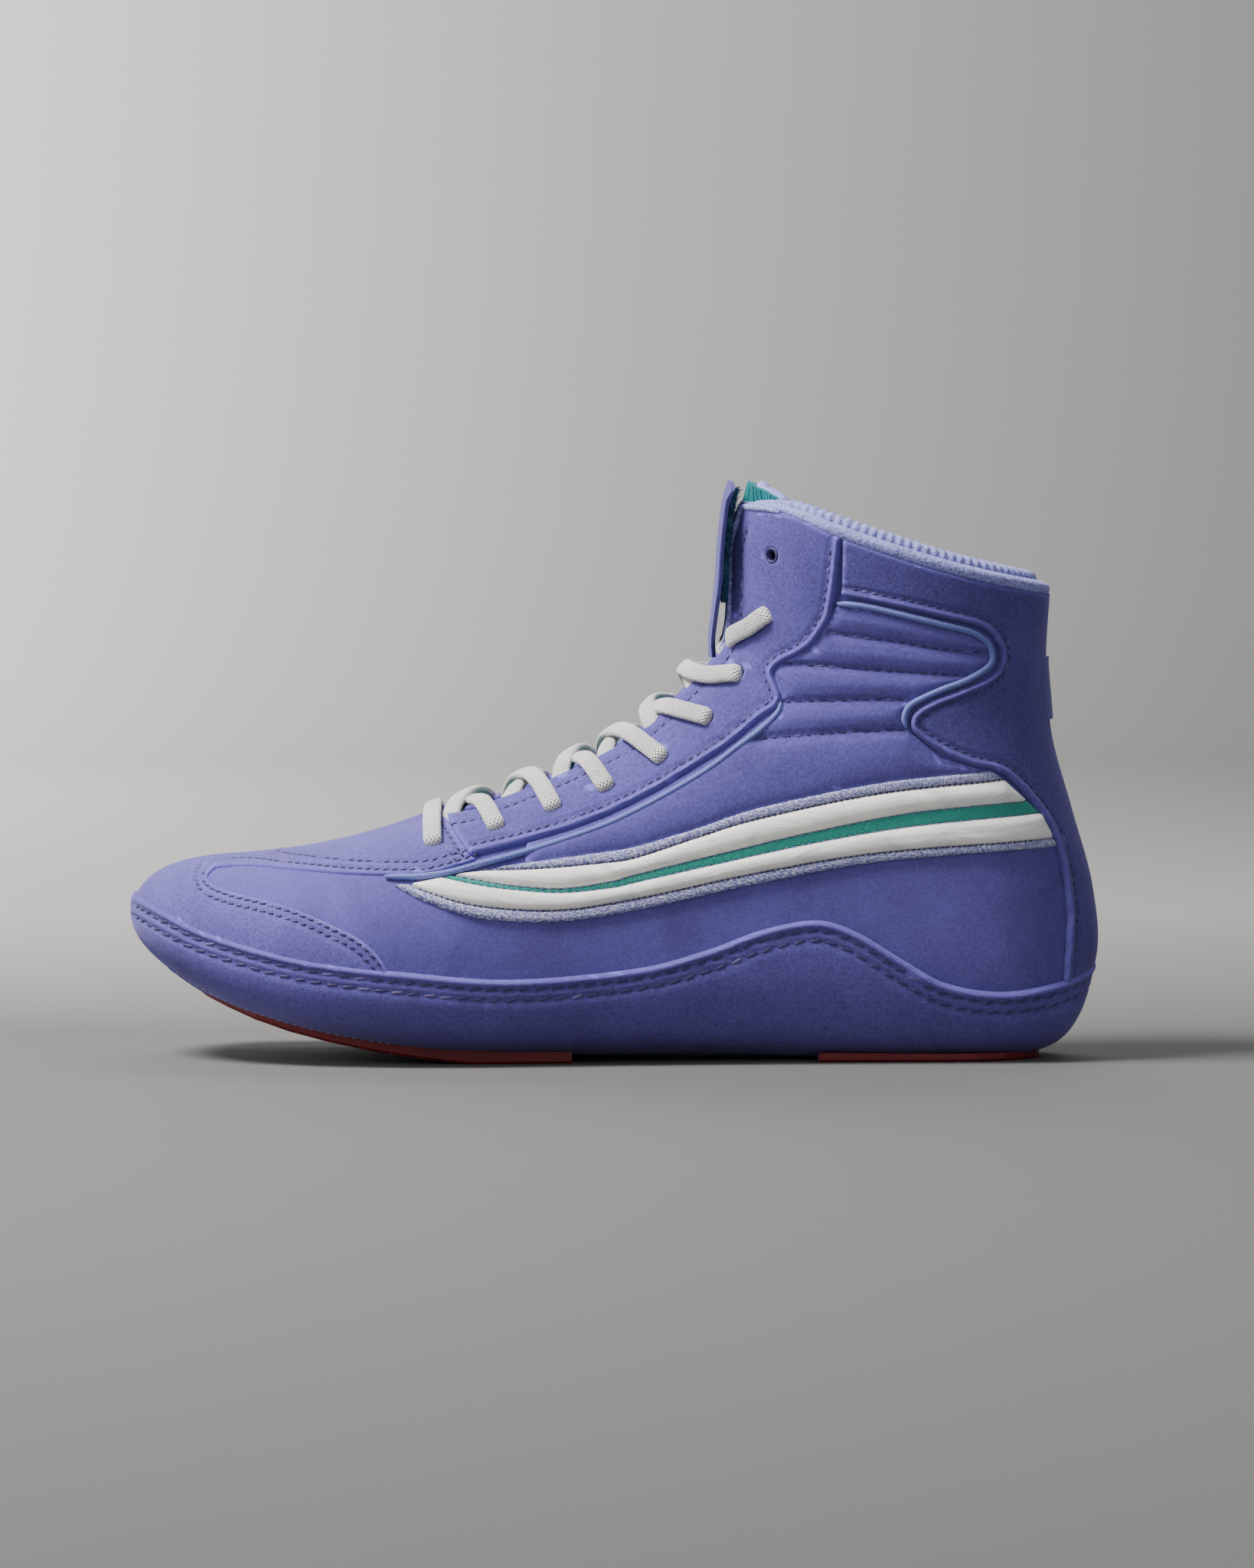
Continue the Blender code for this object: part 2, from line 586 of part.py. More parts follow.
# ---------------------------------------------------------------- tongue and flap
def half_length(at):
    fx, fz, bx, bz, _, _, _, _, _ = section_values(at)
    tall = math.hypot(fx - bx, fz - bz)
    points = half_section(at)
    return sum(math.hypot(b[0] - a[0], (b[1] - a[1]) * tall) for a, b in zip(points, points[1:]))


def from_centre(at, across, depth):
    """A point this far sideways from the throat centre line and this deep."""
    return under(at, 1 - across / half_length(at), depth)


def make_tongue():
    teal = material("teal_knit", TEAL, 0.95)
    across = [-TONGUE_HALF_WIDTH, -20, -10.5, -7, -3.5, 3.5, 7, 10.5, 20, TONGUE_HALF_WIDTH]
    ridge_half, ridge = TONGUE_RIDGE
    outer_depth, inner_depth = TONGUE_DEPTHS
    rings = []
    for k in range(12):
        at = TONGUE_START + (TONGUE_END - TONGUE_START) * k / 11
        rise = ridge if at < TONGUE_RIDGE_END else 0.0
        outer = [from_centre(at, a, outer_depth - rise * (abs(a) < ridge_half)) for a in across]
        rings.append(outer + [from_centre(at, a, inner_depth) for a in across[::-1]])
    loft("tongue", rings, BOOT, teal)

    rings = []
    for z, front, w in TONGUE_LEVELS:
        outer = [tongue_wall(y, front, 0) for y in (-w, -17, -11, -7.5, 0, 7.5, 11, 17, w)]
        inner = [tongue_wall(y, front, TONGUE_WALL)
                 for y in (w - 1, 16, 10, 5, 0, -5, -10, -16, 1 - w)]
        rings.append([(x, y, z) for x, y in outer + inner])
    body = loft("tongue_top", rings, BOOT, teal)
    path = []
    for k in range(13):
        y = ROLL_HALF_WIDTH * (k / 6 - 1)
        x, _ = tongue_wall(y, 39.0, 2.5)
        facing = Vector((1, -0.8 * y / ROLL_HALF_WIDTH, 0)).normalized()
        path.append((Vector((x + 2.2, y, ROLL_HEIGHT)), facing, Vector((0, 0, 1))))
    roll = sweep("tongue_roll", path, oval(3.6, 2.5, 10), material("lilac_knit", LILAC, 0.95))
    patch = add_slab("tongue_loop_patch", 35.7, 36.8, 7, 144, 161,
                     material("navy_loop", NAVY, 0.95))
    return body, roll, patch


def tongue_wall(y, front, depth):
    """Plan position of the tongue's wall: a flat middle, and wings that curve back."""
    centre, long, wide = TONGUE_PLAN
    wing = centre - (long - depth) * math.sqrt(max(0.0, 1 - (y / wide) ** 2))
    if abs(y) < 9 and depth == 0:
        return front, y
    return wing, y


def add_slab(name, x0, x1, half, z0, z1, finish):
    corners = [(x0, z0), (x1, z0), (x1, z1), (x0, z1)]
    rings = [[(x, y, z) for x, z in corners] for y in (-half, half)]
    return loft(name, rings, BOOT, finish)


def flap_half_width(z):
    """The flap is narrow where it is sewn on, between the laces, and wide above them."""
    low, high = FLAP_WIDENING
    share = min(1.0, max(0.0, (z - low) / (high - low)))
    return FLAP_ROOT_HALF_WIDTH + (FLAP_HALF_WIDTH - FLAP_ROOT_HALF_WIDTH) * share


def flap_sheet(name, profile, corner, drop):
    """A part of the flap as wide as the flap is there, its top corners cut down."""
    side = profile + [(x + FLAP_THICKNESS, z) for x, z in profile[::-1]]
    top = profile[-1][1]
    rings = []
    for share, trim in ((-1, drop), (-corner, 0.0), (corner, 0.0), (1, drop)):
        rings.append([(x, share * flap_half_width(z), min(z, top - trim)) for x, z in side])
    return loft(name, rings, BOOT, material("purple_suede", PURPLE, 0.9))


def make_flap():
    flap_sheet("flap_root", FLAP_ROOT_PROFILE, FLAP_CORNER[0], 0.0)
    flap = flap_sheet("lace_flap", FLAP_PROFILE, *FLAP_CORNER)
    side = HOOK_PROFILE + [(x + HOOK_THICKNESS, z) for x, z in HOOK_PROFILE[::-1]]
    rings = [[(x, y, z) for x, z in side] for y in (-HOOK_HALF_WIDTH, HOOK_HALF_WIDTH)]
    patch = loft("flap_hook_patch", rings, BOOT, material("navy_hook", NAVY, 0.95))
    return flap, patch


# ---------------------------------------------------------------- lace
def locate(x, z):
    """Section number and v of the outer-side point that the side view shows at x, z."""
    low, high = 0.5, float(LAST)
    for _ in range(30):
        at = (low + high) / 2
        fx, fz, bx, bz = section_values(at)[:4]
        if (fx - bx) * (z - bz) - (fz - bz) * (x - bx) < 0:
            low = at
        else:
            high = at
    tall = math.hypot(fx - bx, fz - bz)
    share = ((x - bx) * (fx - bx) + (z - bz) * (fz - bz)) / tall**2
    low, high = 0.0, 1.0
    for _ in range(25):
        v = (low + high) / 2
        if skin_share(at, v) < share:
            low = v
        else:
            high = v
    return at, v


def skin_share(at, v):
    fx, fz, bx, bz = section_values(at)[:4]
    point = skin(at, v)
    return ((point.x - bx) * (fx - bx) + (point.z - bz) * (fz - bz)) / (
        (fx - bx) ** 2 + (fz - bz) ** 2)


def crossing(start, end, from_side, over):
    """Middle points of a strand that crosses the throat between two eyelets."""
    points = []
    for share, rise in ((0.13, 2.2), (0.3, 3.0), (0.5, 5.3 if over else 2.4), (0.7, 3.0),
                        (0.87, 2.2)):
        at = start[0] + (end[0] - start[0]) * share
        v = start[1] + (2 - end[1] - start[1]) * share
        points.append(under(at, v * from_side, -rise))
    return points


def lace_route():
    """Down one zigzag, across at the toe end, up the other, and across behind the flap."""
    holes = [locate(x, z) for x, z in EYELETS]
    turn = 0.085
    down = [(k, (-1) ** k) for k in range(6, -1, -1)]
    route = down + [(k, -side) for k, side in down[::-1]]
    points = []
    for number, (here, following) in enumerate(zip(route, route[1:])):
        step = following[0] - here[0]
        leave = (holes[here[0]][0] + turn * (step or -1), holes[here[0]][1])
        arrive = (holes[following[0]][0] - turn * (step or 1), holes[following[0]][1])
        points.append(under(leave[0], leave[1] * here[1], -1.7))
        points += crossing(leave, arrive, here[1], number < 6)
        points.append(under(arrive[0], arrive[1] * following[1], -1.7))
    side = route[-1][1]
    top_at, top_v = holes[7]
    points.append(under((holes[6][0] + top_at) / 2, (holes[6][1] + top_v) / 2 * side, -1.7))
    for share in (0.0, 0.12, 0.25, 0.38, 0.5, 0.62, 0.75, 0.88, 1.0):
        dip = math.sin(math.pi * share) ** 2
        at = top_at + (LACE_DIP_SECTION - top_at) * dip
        v = top_v + (2 - 2 * top_v) * share
        rise = 1.9 + (LACE_DIP_RISE - 1.9) * dip**4
        points.append(under(at, v * side, -rise))
    return points


def make_lace():
    points = lace_route()
    curve = bpy.data.curves.new("lace", "CURVE")
    curve.dimensions = "3D"
    curve.bevel_depth = LACE_RADIUS * MM
    curve.bevel_resolution = 1
    curve.use_fill_caps = True
    spline = curve.splines.new("POLY")
    spline.points.add(len(points) - 1)
    for target, point in zip(spline.points, points):
        target.co = (*(point * MM), 1)
    lace = bpy.data.objects.new("lace", curve)
    curve.materials.append(material("white_lace", WHITE, 0.8))
    BOOT.objects.link(lace)


def hang_on(pieces, name, place):
    """Parents moving pieces to an empty on their hinge."""
    empty = bpy.data.objects.new(name, None)
    empty.location = (place[0] * MM, 0, place[1] * MM)
    BOOT.objects.link(empty)
    for piece in pieces:
        piece.parent = empty
        piece.location = (-place[0] * MM, 0, -place[1] * MM)


for old in list(bpy.data.objects):
    bpy.data.objects.remove(old, do_unlink=True)
BOOT = collection("boxing_boot")
CUTTERS = collection("cutters", hidden=True)
make_sole()
make_upper()
make_side("lateral", (-90, -2))
make_side("medial", (2, 90))
make_heel()
hang_on(make_tongue(), "tongue_hinge", TONGUE_HINGE)
hang_on(make_flap(), "flap_hinge", FLAP_HINGE)
make_lace()
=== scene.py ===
"""The looks of a laced boxing boot: every panel, stitch, knit and lace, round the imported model."""
import math

import bpy
import numpy as np
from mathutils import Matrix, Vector


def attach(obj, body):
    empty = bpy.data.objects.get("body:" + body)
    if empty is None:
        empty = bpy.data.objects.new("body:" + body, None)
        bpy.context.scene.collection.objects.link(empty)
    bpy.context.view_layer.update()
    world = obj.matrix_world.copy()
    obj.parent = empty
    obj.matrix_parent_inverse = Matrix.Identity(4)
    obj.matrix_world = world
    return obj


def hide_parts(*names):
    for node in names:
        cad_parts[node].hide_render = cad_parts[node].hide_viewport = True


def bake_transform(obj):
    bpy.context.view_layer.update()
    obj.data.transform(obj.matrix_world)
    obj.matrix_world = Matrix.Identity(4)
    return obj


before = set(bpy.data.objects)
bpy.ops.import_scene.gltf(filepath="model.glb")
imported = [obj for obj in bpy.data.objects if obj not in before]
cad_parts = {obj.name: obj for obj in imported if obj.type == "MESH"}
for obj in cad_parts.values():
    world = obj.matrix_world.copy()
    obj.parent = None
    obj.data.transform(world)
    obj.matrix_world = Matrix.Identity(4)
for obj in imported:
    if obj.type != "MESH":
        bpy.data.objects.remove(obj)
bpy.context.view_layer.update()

MM = 0.001
SIDES = {"lateral": -1, "medial": 1}

# Sections of the upper, toe to heel as a fan of planes: top or front point, bottom or
# back point, half width, sideways shift, height of the widest place, squareness of the
# lower and upper halves. Millimetres.
SECTIONS = [
    ((-145.0, 44.5), (-145.0, 44.5), 0.0, 8.0, 0.45, 2.3, 2.1),
    ((-143.6, 49.0), (-143.6, 38.2), 11.5, 8.0, 0.44, 2.4, 2.1),
    ((-139.5, 53.8), (-139.5, 32.6), 22.0, 7.6, 0.43, 2.6, 2.1),
    ((-132.5, 57.6), (-132.5, 27.0), 31.5, 7.0, 0.42, 2.9, 2.1),
    ((-122.0, 60.0), (-122.0, 20.5), 39.0, 6.0, 0.41, 3.2, 2.15),
    ((-108.0, 61.3), (-108.0, 14.6), 44.5, 3.8, 0.40, 3.4, 2.2),
    ((-91.0, 63.5), (-91.0, 9.8), 48.2, 1.6, 0.39, 3.5, 2.2),
    ((-72.0, 68.0), (-72.0, 6.0), 50.0, 0.1, 0.38, 3.5, 2.2),
    ((-52.0, 74.8), (-51.0, 3.4), 49.2, -0.6, 0.36, 3.5, 2.2),
    ((-31.0, 82.0), (-28.0, 2.4), 45.5, -0.8, 0.35, 3.5, 2.2),
    ((-11.0, 90.5), (-2.0, 2.4), 41.5, -1.2, 0.36, 3.4, 2.2),
    ((7.0, 101.0), (28.0, 2.4), 38.5, -1.2, 0.38, 3.3, 2.2),
    ((21.0, 114.0), (62.0, 1.5), 36.5, -0.8, 0.42, 3.4, 2.2),
    ((31.0, 126.5), (98.0, 1.2), 35.5, -0.4, 0.46, 3.6, 2.2),
    ((33.6, 138.0), (133.0, 5.2), 35.0, 0.0, 0.50, 3.4, 2.2),
    ((34.0, 147.0), (145.0, 28.5), 35.0, 0.0, 0.52, 2.9, 2.2),
    ((34.4, 154.0), (144.4, 51.0), 35.5, 0.0, 0.52, 2.6, 2.2),
    ((34.8, 159.0), (138.0, 75.0), 36.0, 0.0, 0.52, 2.3, 2.2),
    ((35.2, 163.0), (132.0, 97.0), 36.5, 0.0, 0.51, 2.2, 2.2),
    ((35.6, 166.0), (130.2, 119.0), 37.0, 0.0, 0.50, 2.1, 2.2),
    ((36.2, 168.4), (131.3, 140.6), 37.0, 0.0, 0.50, 2.1, 2.2),
]
LAST = len(SECTIONS) - 1
ALONG = 330            # steps of the fine grid along the boot
HALF = 140             # steps from the sole centre to the throat centre
EASE = 1.06            # crowds the steps towards the toe


# ---------------------------------------------------------------- the upper's surface
def catmull(rows, at, before=None):
    """Catmull-Rom through rows at 0, 1, 2 ..., read at an array of places."""
    rows = np.asarray(rows, float)
    at = np.asarray(at, float)
    first = 2 * rows[0] - rows[1] if before is None else np.asarray(before, float)
    rows = np.vstack([first, rows, 2 * rows[-1] - rows[-2]])
    low = np.clip(at.astype(int), 0, len(rows) - 4)
    t = (at - low)[:, None]
    p0, p1, p2, p3 = (rows[low + k] for k in range(4))
    a, b = (p2 - p0) / 2, (p3 - p1) / 2
    return (p1 * (2 * t**3 - 3 * t**2 + 1) + a * (t**3 - 2 * t**2 + t)
            + p2 * (3 * t**2 - 2 * t**3) + b * (t**3 - t**2))


class Skin:
    """The outer face of the upper on a fine grid, and lookups on it."""

    def __init__(self):
        rows = [(*f, *b, w, c, t, nb, nt) for f, b, w, c, t, nb, nt in SECTIONS]
        one = rows[1]
        mirror = (*one[2:4], *one[0:2], -one[4], *one[5:])
        self.at = LAST * (np.arange(ALONG + 1) / ALONG) ** EASE
        self.at[0] = 0.03
        values = catmull(rows, self.at, mirror)
        self.front, self.back = values[:, 0:2], values[:, 2:4]
        width, shift, widest, low, high = (values[:, k, None] for k in range(4, 9))
        self.width = np.abs(width[:, 0])
        tall = np.linalg.norm(self.front - self.back, axis=1)[:, None]
        angle = np.linspace(0, math.pi / 2, 160)[None, :]
        y_low = np.abs(width) * np.sin(angle) ** (2 / low)
        s_low = widest * (1 - np.cos(angle) ** (2 / low))
        y_high = np.abs(width) * np.cos(angle) ** (2 / high)
        s_high = widest + (1 - widest) * np.sin(angle) ** (2 / high)
        y = np.hstack([y_low, y_high[:, 1:]])
        share = np.hstack([s_low, s_high[:, 1:]])
        steps = np.hypot(np.diff(y, axis=1), np.diff(share * tall, axis=1))
        length = np.hstack([np.zeros((len(y), 1)), np.cumsum(steps, axis=1)])
        self.half_length = length[:, -1]
        want = np.linspace(0, 1, HALF + 1)
        half_y = np.array([np.interp(want * l[-1], l, r) for l, r in zip(length, y)])
        self.share = np.array([np.interp(want * l[-1], l, r) for l, r in zip(length, share)])
        x = self.back[:, :1] + (self.front - self.back)[:, :1] * self.share
        z = self.back[:, 1:] + (self.front - self.back)[:, 1:] * self.share
        medial = np.stack([x, shift + half_y, z], axis=-1)
        lateral = np.stack([x, shift - half_y, z], axis=-1)
        self.points = np.concatenate([lateral[:, :0:-1], medial[:, :-1]], axis=1)
        self.v = np.arange(2 * HALF) / HALF - 1
        along = np.gradient(self.points, axis=0)
        across = np.roll(self.points, -1, axis=1) - np.roll(self.points, 1, axis=1)
        normal = np.cross(across, along)
        self.normals = normal / np.linalg.norm(normal, axis=-1, keepdims=True)

    def read(self, grid, at, v):
        at, v = np.atleast_1d(at).astype(float), np.atleast_1d(v).astype(float)
        row = np.clip(ALONG * (np.clip(at, 0, LAST) / LAST) ** (1 / EASE), 0, ALONG - 1e-6)
        column = ((v + 1) % 2) * HALF
        r, c = row.astype(int), column.astype(int) % (2 * HALF)
        fr, fc = (row - r)[:, None], (column - column.astype(int))[:, None]
        c2 = (c + 1) % (2 * HALF)
        return ((grid[r, c] * (1 - fc) + grid[r, c2] * fc) * (1 - fr)
                + (grid[r + 1, c] * (1 - fc) + grid[r + 1, c2] * fc) * fr)

    def outward(self, at, v):
        """Unit vectors out of the face."""
        normal = self.read(self.normals, at, v)
        return normal / np.linalg.norm(normal, axis=1, keepdims=True)

    def place(self, at, v, height=0.0):
        """Points on the outer face, or this far outside it."""
        return self.read(self.points, at, v) + self.outward(at, v) * np.reshape(height, (-1, 1))

    def locate(self, points, side):
        """Section numbers and v of side-view points (x, z), and which of them lie on the boot."""
        points = np.asarray(points, float)
        run = self.front - self.back
        gap = points[:, None, :] - self.back[None]
        turn = run[None, :, 0] * gap[..., 1] - run[None, :, 1] * gap[..., 0]
        k = np.clip((turn < 0).sum(axis=1), 1, ALONG)
        n = np.arange(len(points))
        a, b = turn[n, k - 1], turn[n, k]
        part = np.clip(a / np.where(np.abs(a - b) < 1e-9, 1e-9, a - b), 0, 1)
        at = self.at[k - 1] + (self.at[k] - self.at[k - 1]) * part
        front = self.front[k - 1] + (self.front[k] - self.front[k - 1]) * part[:, None]
        back = self.back[k - 1] + (self.back[k] - self.back[k - 1]) * part[:, None]
        run = front - back
        share = ((points - back) * run).sum(axis=1) / (run**2).sum(axis=1)
        want = np.linspace(0, 1, HALF + 1)
        v = np.array([np.interp(s, self.share[j - 1], want) * (1 - p)
                      + np.interp(s, self.share[j], want) * p
                      for s, j, p in zip(share, k, part)])
        good = (share > 0.0) & (share < 1.0) & (at > 0.06)
        return at, v * side, good


SKIN = Skin()


def run_length(path):
    """Length from a path's start to each of its points."""
    return np.concatenate([[0], np.cumsum(np.linalg.norm(np.diff(path, axis=0), axis=1))])


def resample(values, known, want):
    """Rows of values given at known places, read at wanted ones."""
    return np.stack([np.interp(want, known, column) for column in np.asarray(values).T], axis=1)


def smooth(points, spacing=0.8):
    """A smooth curve through points of any dimension, sampled evenly."""
    points = np.asarray(points, float)
    fine = catmull(points, np.linspace(0, len(points) - 1, 24 * len(points)))
    length = run_length(fine)
    count = max(2, int(length[-1] / spacing) + 1)
    return resample(fine, length, np.linspace(0, length[-1], count))


def sidestep(line, amount):
    """A side-view line moved to its right by an amount."""
    line = np.asarray(line, float)
    along = np.gradient(line, axis=0)
    along /= np.linalg.norm(along, axis=1, keepdims=True)
    return line + np.stack([along[:, 1], -along[:, 0]], axis=1) * amount


def inside(outline, x, z):
    """Which of the points x, z a closed outline holds."""
    held = np.zeros(x.shape, bool)
    ends = np.roll(outline, -1, axis=0)
    for (x0, z0), (x1, z1) in zip(outline, ends):
        if z0 == z1:
            continue
        crosses = (z0 > z) != (z1 > z)
        held ^= crosses & (x < (x1 - x0) * (z - z0) / (z1 - z0) + x0)
    return held


def distance(points, lines):
    """Distance from each point to the nearest of some polylines."""
    best = np.full(len(points), 1e9)
    for line in lines:
        if len(line) < 2:
            continue
        start, run = line[:-1], np.diff(line, axis=0)
        size = np.maximum((run**2).sum(axis=1), 1e-12)
        squares = (line**2).sum(axis=1)
        for low in range(0, len(points), 4000):
            block = points[low:low + 4000]
            apart = squares[None] - 2 * block @ line.T
            near = np.argmin(apart, axis=1)
            found = np.full(len(block), 1e9)
            for k in (near - 1, near):
                k = np.clip(k, 0, len(run) - 1)
                t = ((block - start[k]) * run[k]).sum(axis=1) / size[k]
                foot = start[k] + run[k] * np.clip(t, 0, 1)[:, None]
                found = np.minimum(found, np.linalg.norm(block - foot, axis=1))
            best[low:low + 4000] = np.minimum(best[low:low + 4000], found)
    return best


# ---------------------------------------------------------------- mesh making
def add_mesh(name, points, faces, finish, body="boot", slot=None, uv=None, sharp=55):
    """A piece from points in millimetres that rides on a CAD body."""
    mesh = bpy.data.meshes.new(name)
    mesh.from_pydata((np.asarray(points) * MM).tolist(), [], [list(f) for f in faces])
    if uv is not None:
        layer = mesh.uv_layers.new(name="flow")
        corners = np.empty(len(mesh.loops), np.int32)
        mesh.loops.foreach_get("vertex_index", corners)
        layer.data.foreach_set("uv", (np.asarray(uv) * MM)[corners].astype(np.float32).ravel())
    mesh.validate()
    mesh.shade_smooth()
    mesh.set_sharp_from_angle(angle=math.radians(sharp))
    piece = bpy.data.objects.new(name, mesh)
    bpy.context.scene.collection.objects.link(piece)
    mesh.materials.append(finish)
    if body:
        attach(piece, body)
    return piece


def split(values, faces, column, level):
    """Triangles cut along the line where one of the corner values equals a level."""
    gap = values[:, column] - level
    gap[np.abs(gap) < 1e-3] = 1e-3
    above = gap > 0
    count = above[faces].sum(axis=1)
    mixed = (count == 1) | (count == 2)
    if not mixed.any():
        return values, faces
    part = faces[mixed]
    lone = np.where(count[mixed][:, None] == 1, above[part], ~above[part]).argmax(axis=1)
    n = np.arange(len(part))
    a, b, c = (part[n, (lone + k) % 3] for k in range(3))
    edges = np.sort(np.concatenate([np.stack([a, b], 1), np.stack([a, c], 1)]), axis=1)
    key, inverse = np.unique(edges, axis=0, return_inverse=True)
    share = (gap[key[:, 0]] / (gap[key[:, 0]] - gap[key[:, 1]]))[:, None]
    made = values[key[:, 0]] * (1 - share) + values[key[:, 1]] * share
    made[:, column] = level
    new = len(values) + inverse.reshape(-1)
    ab, ac = new[:len(a)], new[len(a):]
    cut = np.concatenate([np.stack([a, ab, ac], 1), np.stack([ab, b, c], 1),
                          np.stack([ab, c, ac], 1)])
    return np.concatenate([values, made]), np.concatenate([faces[~mixed], cut])


AROUND = 2 * HALF
GRID_INDEX = np.arange((ALONG + 1) * AROUND).reshape(ALONG + 1, AROUND)
GRID_POINTS = SKIN.points.copy()
GRID_POINTS[0] = (-145.0, 8.0, 44.5)
GRID_NORMALS = SKIN.normals.copy()
GRID_NORMALS[0] = (-1.0, 0.0, 0.0)
GRID_INDEX[0] = 0
NEXT_INDEX = np.roll(GRID_INDEX, -1, axis=1)
GRID_QUADS = np.stack([GRID_INDEX[:-1], GRID_INDEX[1:], NEXT_INDEX[1:], NEXT_INDEX[:-1]],
                      axis=-1).reshape(-1, 4)
FLAT_POINTS = GRID_POINTS.reshape(-1, 3)
FLAT_NORMALS = GRID_NORMALS.reshape(-1, 3)
FLAT_V = np.tile(SKIN.v, ALONG + 1)
ACROSS = (SKIN.half_length[:, None] * SKIN.v[None]).reshape(-1)
FRONT_RUN = np.linalg.norm(np.diff(SKIN.points, axis=0), axis=2).mean(axis=1)
ALONG_MM = np.repeat(np.concatenate([[0], np.cumsum(FRONT_RUN)]), AROUND)


def lines_on_boot(line, side):
    """The runs of a side-view line that lie on the boot, as 3-D polylines."""
    runs = []
    for one in ((side,) if side else (-1, 1)):
        at, v, good = SKIN.locate(line, one)
        points = SKIN.place(at, v)
        start = None
        for k in range(len(good) + 1):
            if k < len(good) and good[k]:
                start = k if start is None else start
            elif start is not None:
                if k - start > 1:
                    runs.append(points[start:k])
                start = None
    return runs


def dense(outline, spacing=0.9):
    """A closed outline of straight runs with extra points along them."""
    outline = np.asarray(outline, float)
    points = []
    for a, b in zip(outline, np.roll(outline, -1, axis=0)):
        steps = max(1, int(np.linalg.norm(b - a) / spacing))
        points.append(a + (b - a) * (np.arange(steps) / steps)[:, None])
    return np.concatenate(points + [outline[:1]])


def gap_to(points, lines, side):
    """Distance of points to side-view lines lying on one side of the boot, or on both."""
    runs = [run for line in lines for run in lines_on_boot(line, side)]
    return distance(points, runs) if runs else np.full(len(points), 99.0)


EDGE = 8               # column of a panel's values that holds the distance in from its edge


def panel(name, outline, finish, height, side=0, depth=-1.2, levels=(), lines=(), holes=(),
          hole_radius=1.9, slot=None, node=None, sharp=55):
    """A sewn piece: the boot's skin inside a side-view outline, raised by height(edge, gaps).

    height gets the distance in from the piece's edge and the distance to each of the lines."""
    outline = np.asarray(outline, float)
    held = inside(outline, FLAT_POINTS[:, 0], FLAT_POINTS[:, 2])
    if side:
        held &= FLAT_V * side > 0
    quads = GRID_QUADS[held[GRID_QUADS].any(axis=1)]
    used, index = np.unique(quads, return_inverse=True)
    quads = index.reshape(-1, 4)
    faces = np.concatenate([quads[:, [0, 3, 2]], quads[:, [0, 2, 1]]])
    faces = faces[(faces[:, 0] != faces[:, 1]) & (faces[:, 1] != faces[:, 2])
                  & (faces[:, 0] != faces[:, 2])]
    points = FLAT_POINTS[used]
    edge = gap_to(points, [dense(outline)], side)
    edge = np.where(held[used], np.maximum(edge, 0.01), -np.maximum(edge, 0.01))
    for at_hole in holes:
        at, v, _ = SKIN.locate([at_hole], side or 1)
        for one in ((side,) if side else (-1, 1)):
            centre = SKIN.place(at, np.abs(v) * one)[0]
            edge = np.minimum(edge, np.linalg.norm(points - centre, axis=1) - hole_radius)
    gaps = [gap_to(points, [line], side) for line in lines]
    values = np.column_stack([points, FLAT_NORMALS[used], ALONG_MM[used], ACROSS[used], edge]
                             + gaps)
    values, faces = split(values, faces, EDGE, 0.0)
    faces = faces[(values[faces, EDGE] >= -1e-6).all(axis=1)]
    for level in levels:
        values, faces = split(values, faces, EDGE, level)
    used, index = np.unique(faces, return_inverse=True)
    values, faces = values[used], index.reshape(-1, 3)
    normal = values[:, 3:6] / np.linalg.norm(values[:, 3:6], axis=1, keepdims=True)
    rise = height(values[:, EDGE], values[:, EDGE + 1:].T)
    top = values[:, :3] + normal * rise[:, None]
    ends = np.concatenate([faces[:, [0, 1]], faces[:, [1, 2]], faces[:, [2, 0]]])
    _, first, count = np.unique(np.sort(ends, axis=1), axis=0, return_index=True,
                                return_counts=True)
    rim = ends[first[count == 1]]
    rim_used, rim_index = np.unique(rim, return_inverse=True)
    low = values[rim_used, :3] + normal[rim_used] * depth
    rim_low = rim_index.reshape(-1, 2) + len(top)
    walls = np.column_stack([rim[:, 1], rim[:, 0], rim_low[:, 0], rim_low[:, 1]])
    points = np.concatenate([top, low])
    flow = np.concatenate([values[:, 6:8], values[rim_used, 6:8]])
    piece = add_mesh(name, points, list(faces) + list(walls), finish, slot=slot, uv=flow,
                     sharp=sharp)
    if node:
        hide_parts(*((node,) if isinstance(node, str) else node))
    return piece


def rim_loop(index):
    """The outer points of a grid in order, and the one after each."""
    rim = np.concatenate([index[0, :], index[1:, -1], index[-1, -2::-1], index[-2:0:-1, 0]])
    return rim, np.roll(rim, -1)


def slab(near, far, flip=False):
    """Points and faces of a sheet between two grids of points."""
    count = near.size // 3
    index = np.arange(count).reshape(near.shape[:2])
    quads = np.stack([index[:-1, :-1], index[:-1, 1:], index[1:, 1:], index[1:, :-1]], -1)
    quads = quads.reshape(-1, 4)
    rim, nxt = rim_loop(index)
    walls = np.stack([rim, rim + count, nxt + count, nxt], axis=1)
    faces = np.concatenate([quads, quads[:, ::-1] + count, walls])
    faces = faces[:, [0, 3, 2, 1]] if flip else faces
    return np.concatenate([near.reshape(-1, 3), far.reshape(-1, 3)]), faces.tolist()


def forward_normals(grid):
    """Unit normals of a sheet, on the side that faces the toe."""
    normal = np.cross(np.gradient(grid, axis=1), np.gradient(grid, axis=0))
    normal /= np.maximum(np.linalg.norm(normal, axis=2, keepdims=True), 1e-9)
    return -normal if normal[:, grid.shape[1] // 2, 0].mean() > 0 else normal


def rolled(edge, low, high, radius):
    """A rounded edge that rises from low to high over a radius."""
    part = 1 - np.clip(edge / radius, 0, 1)
    return low + (high - low) * np.sqrt(np.maximum(0, 1 - part**2))


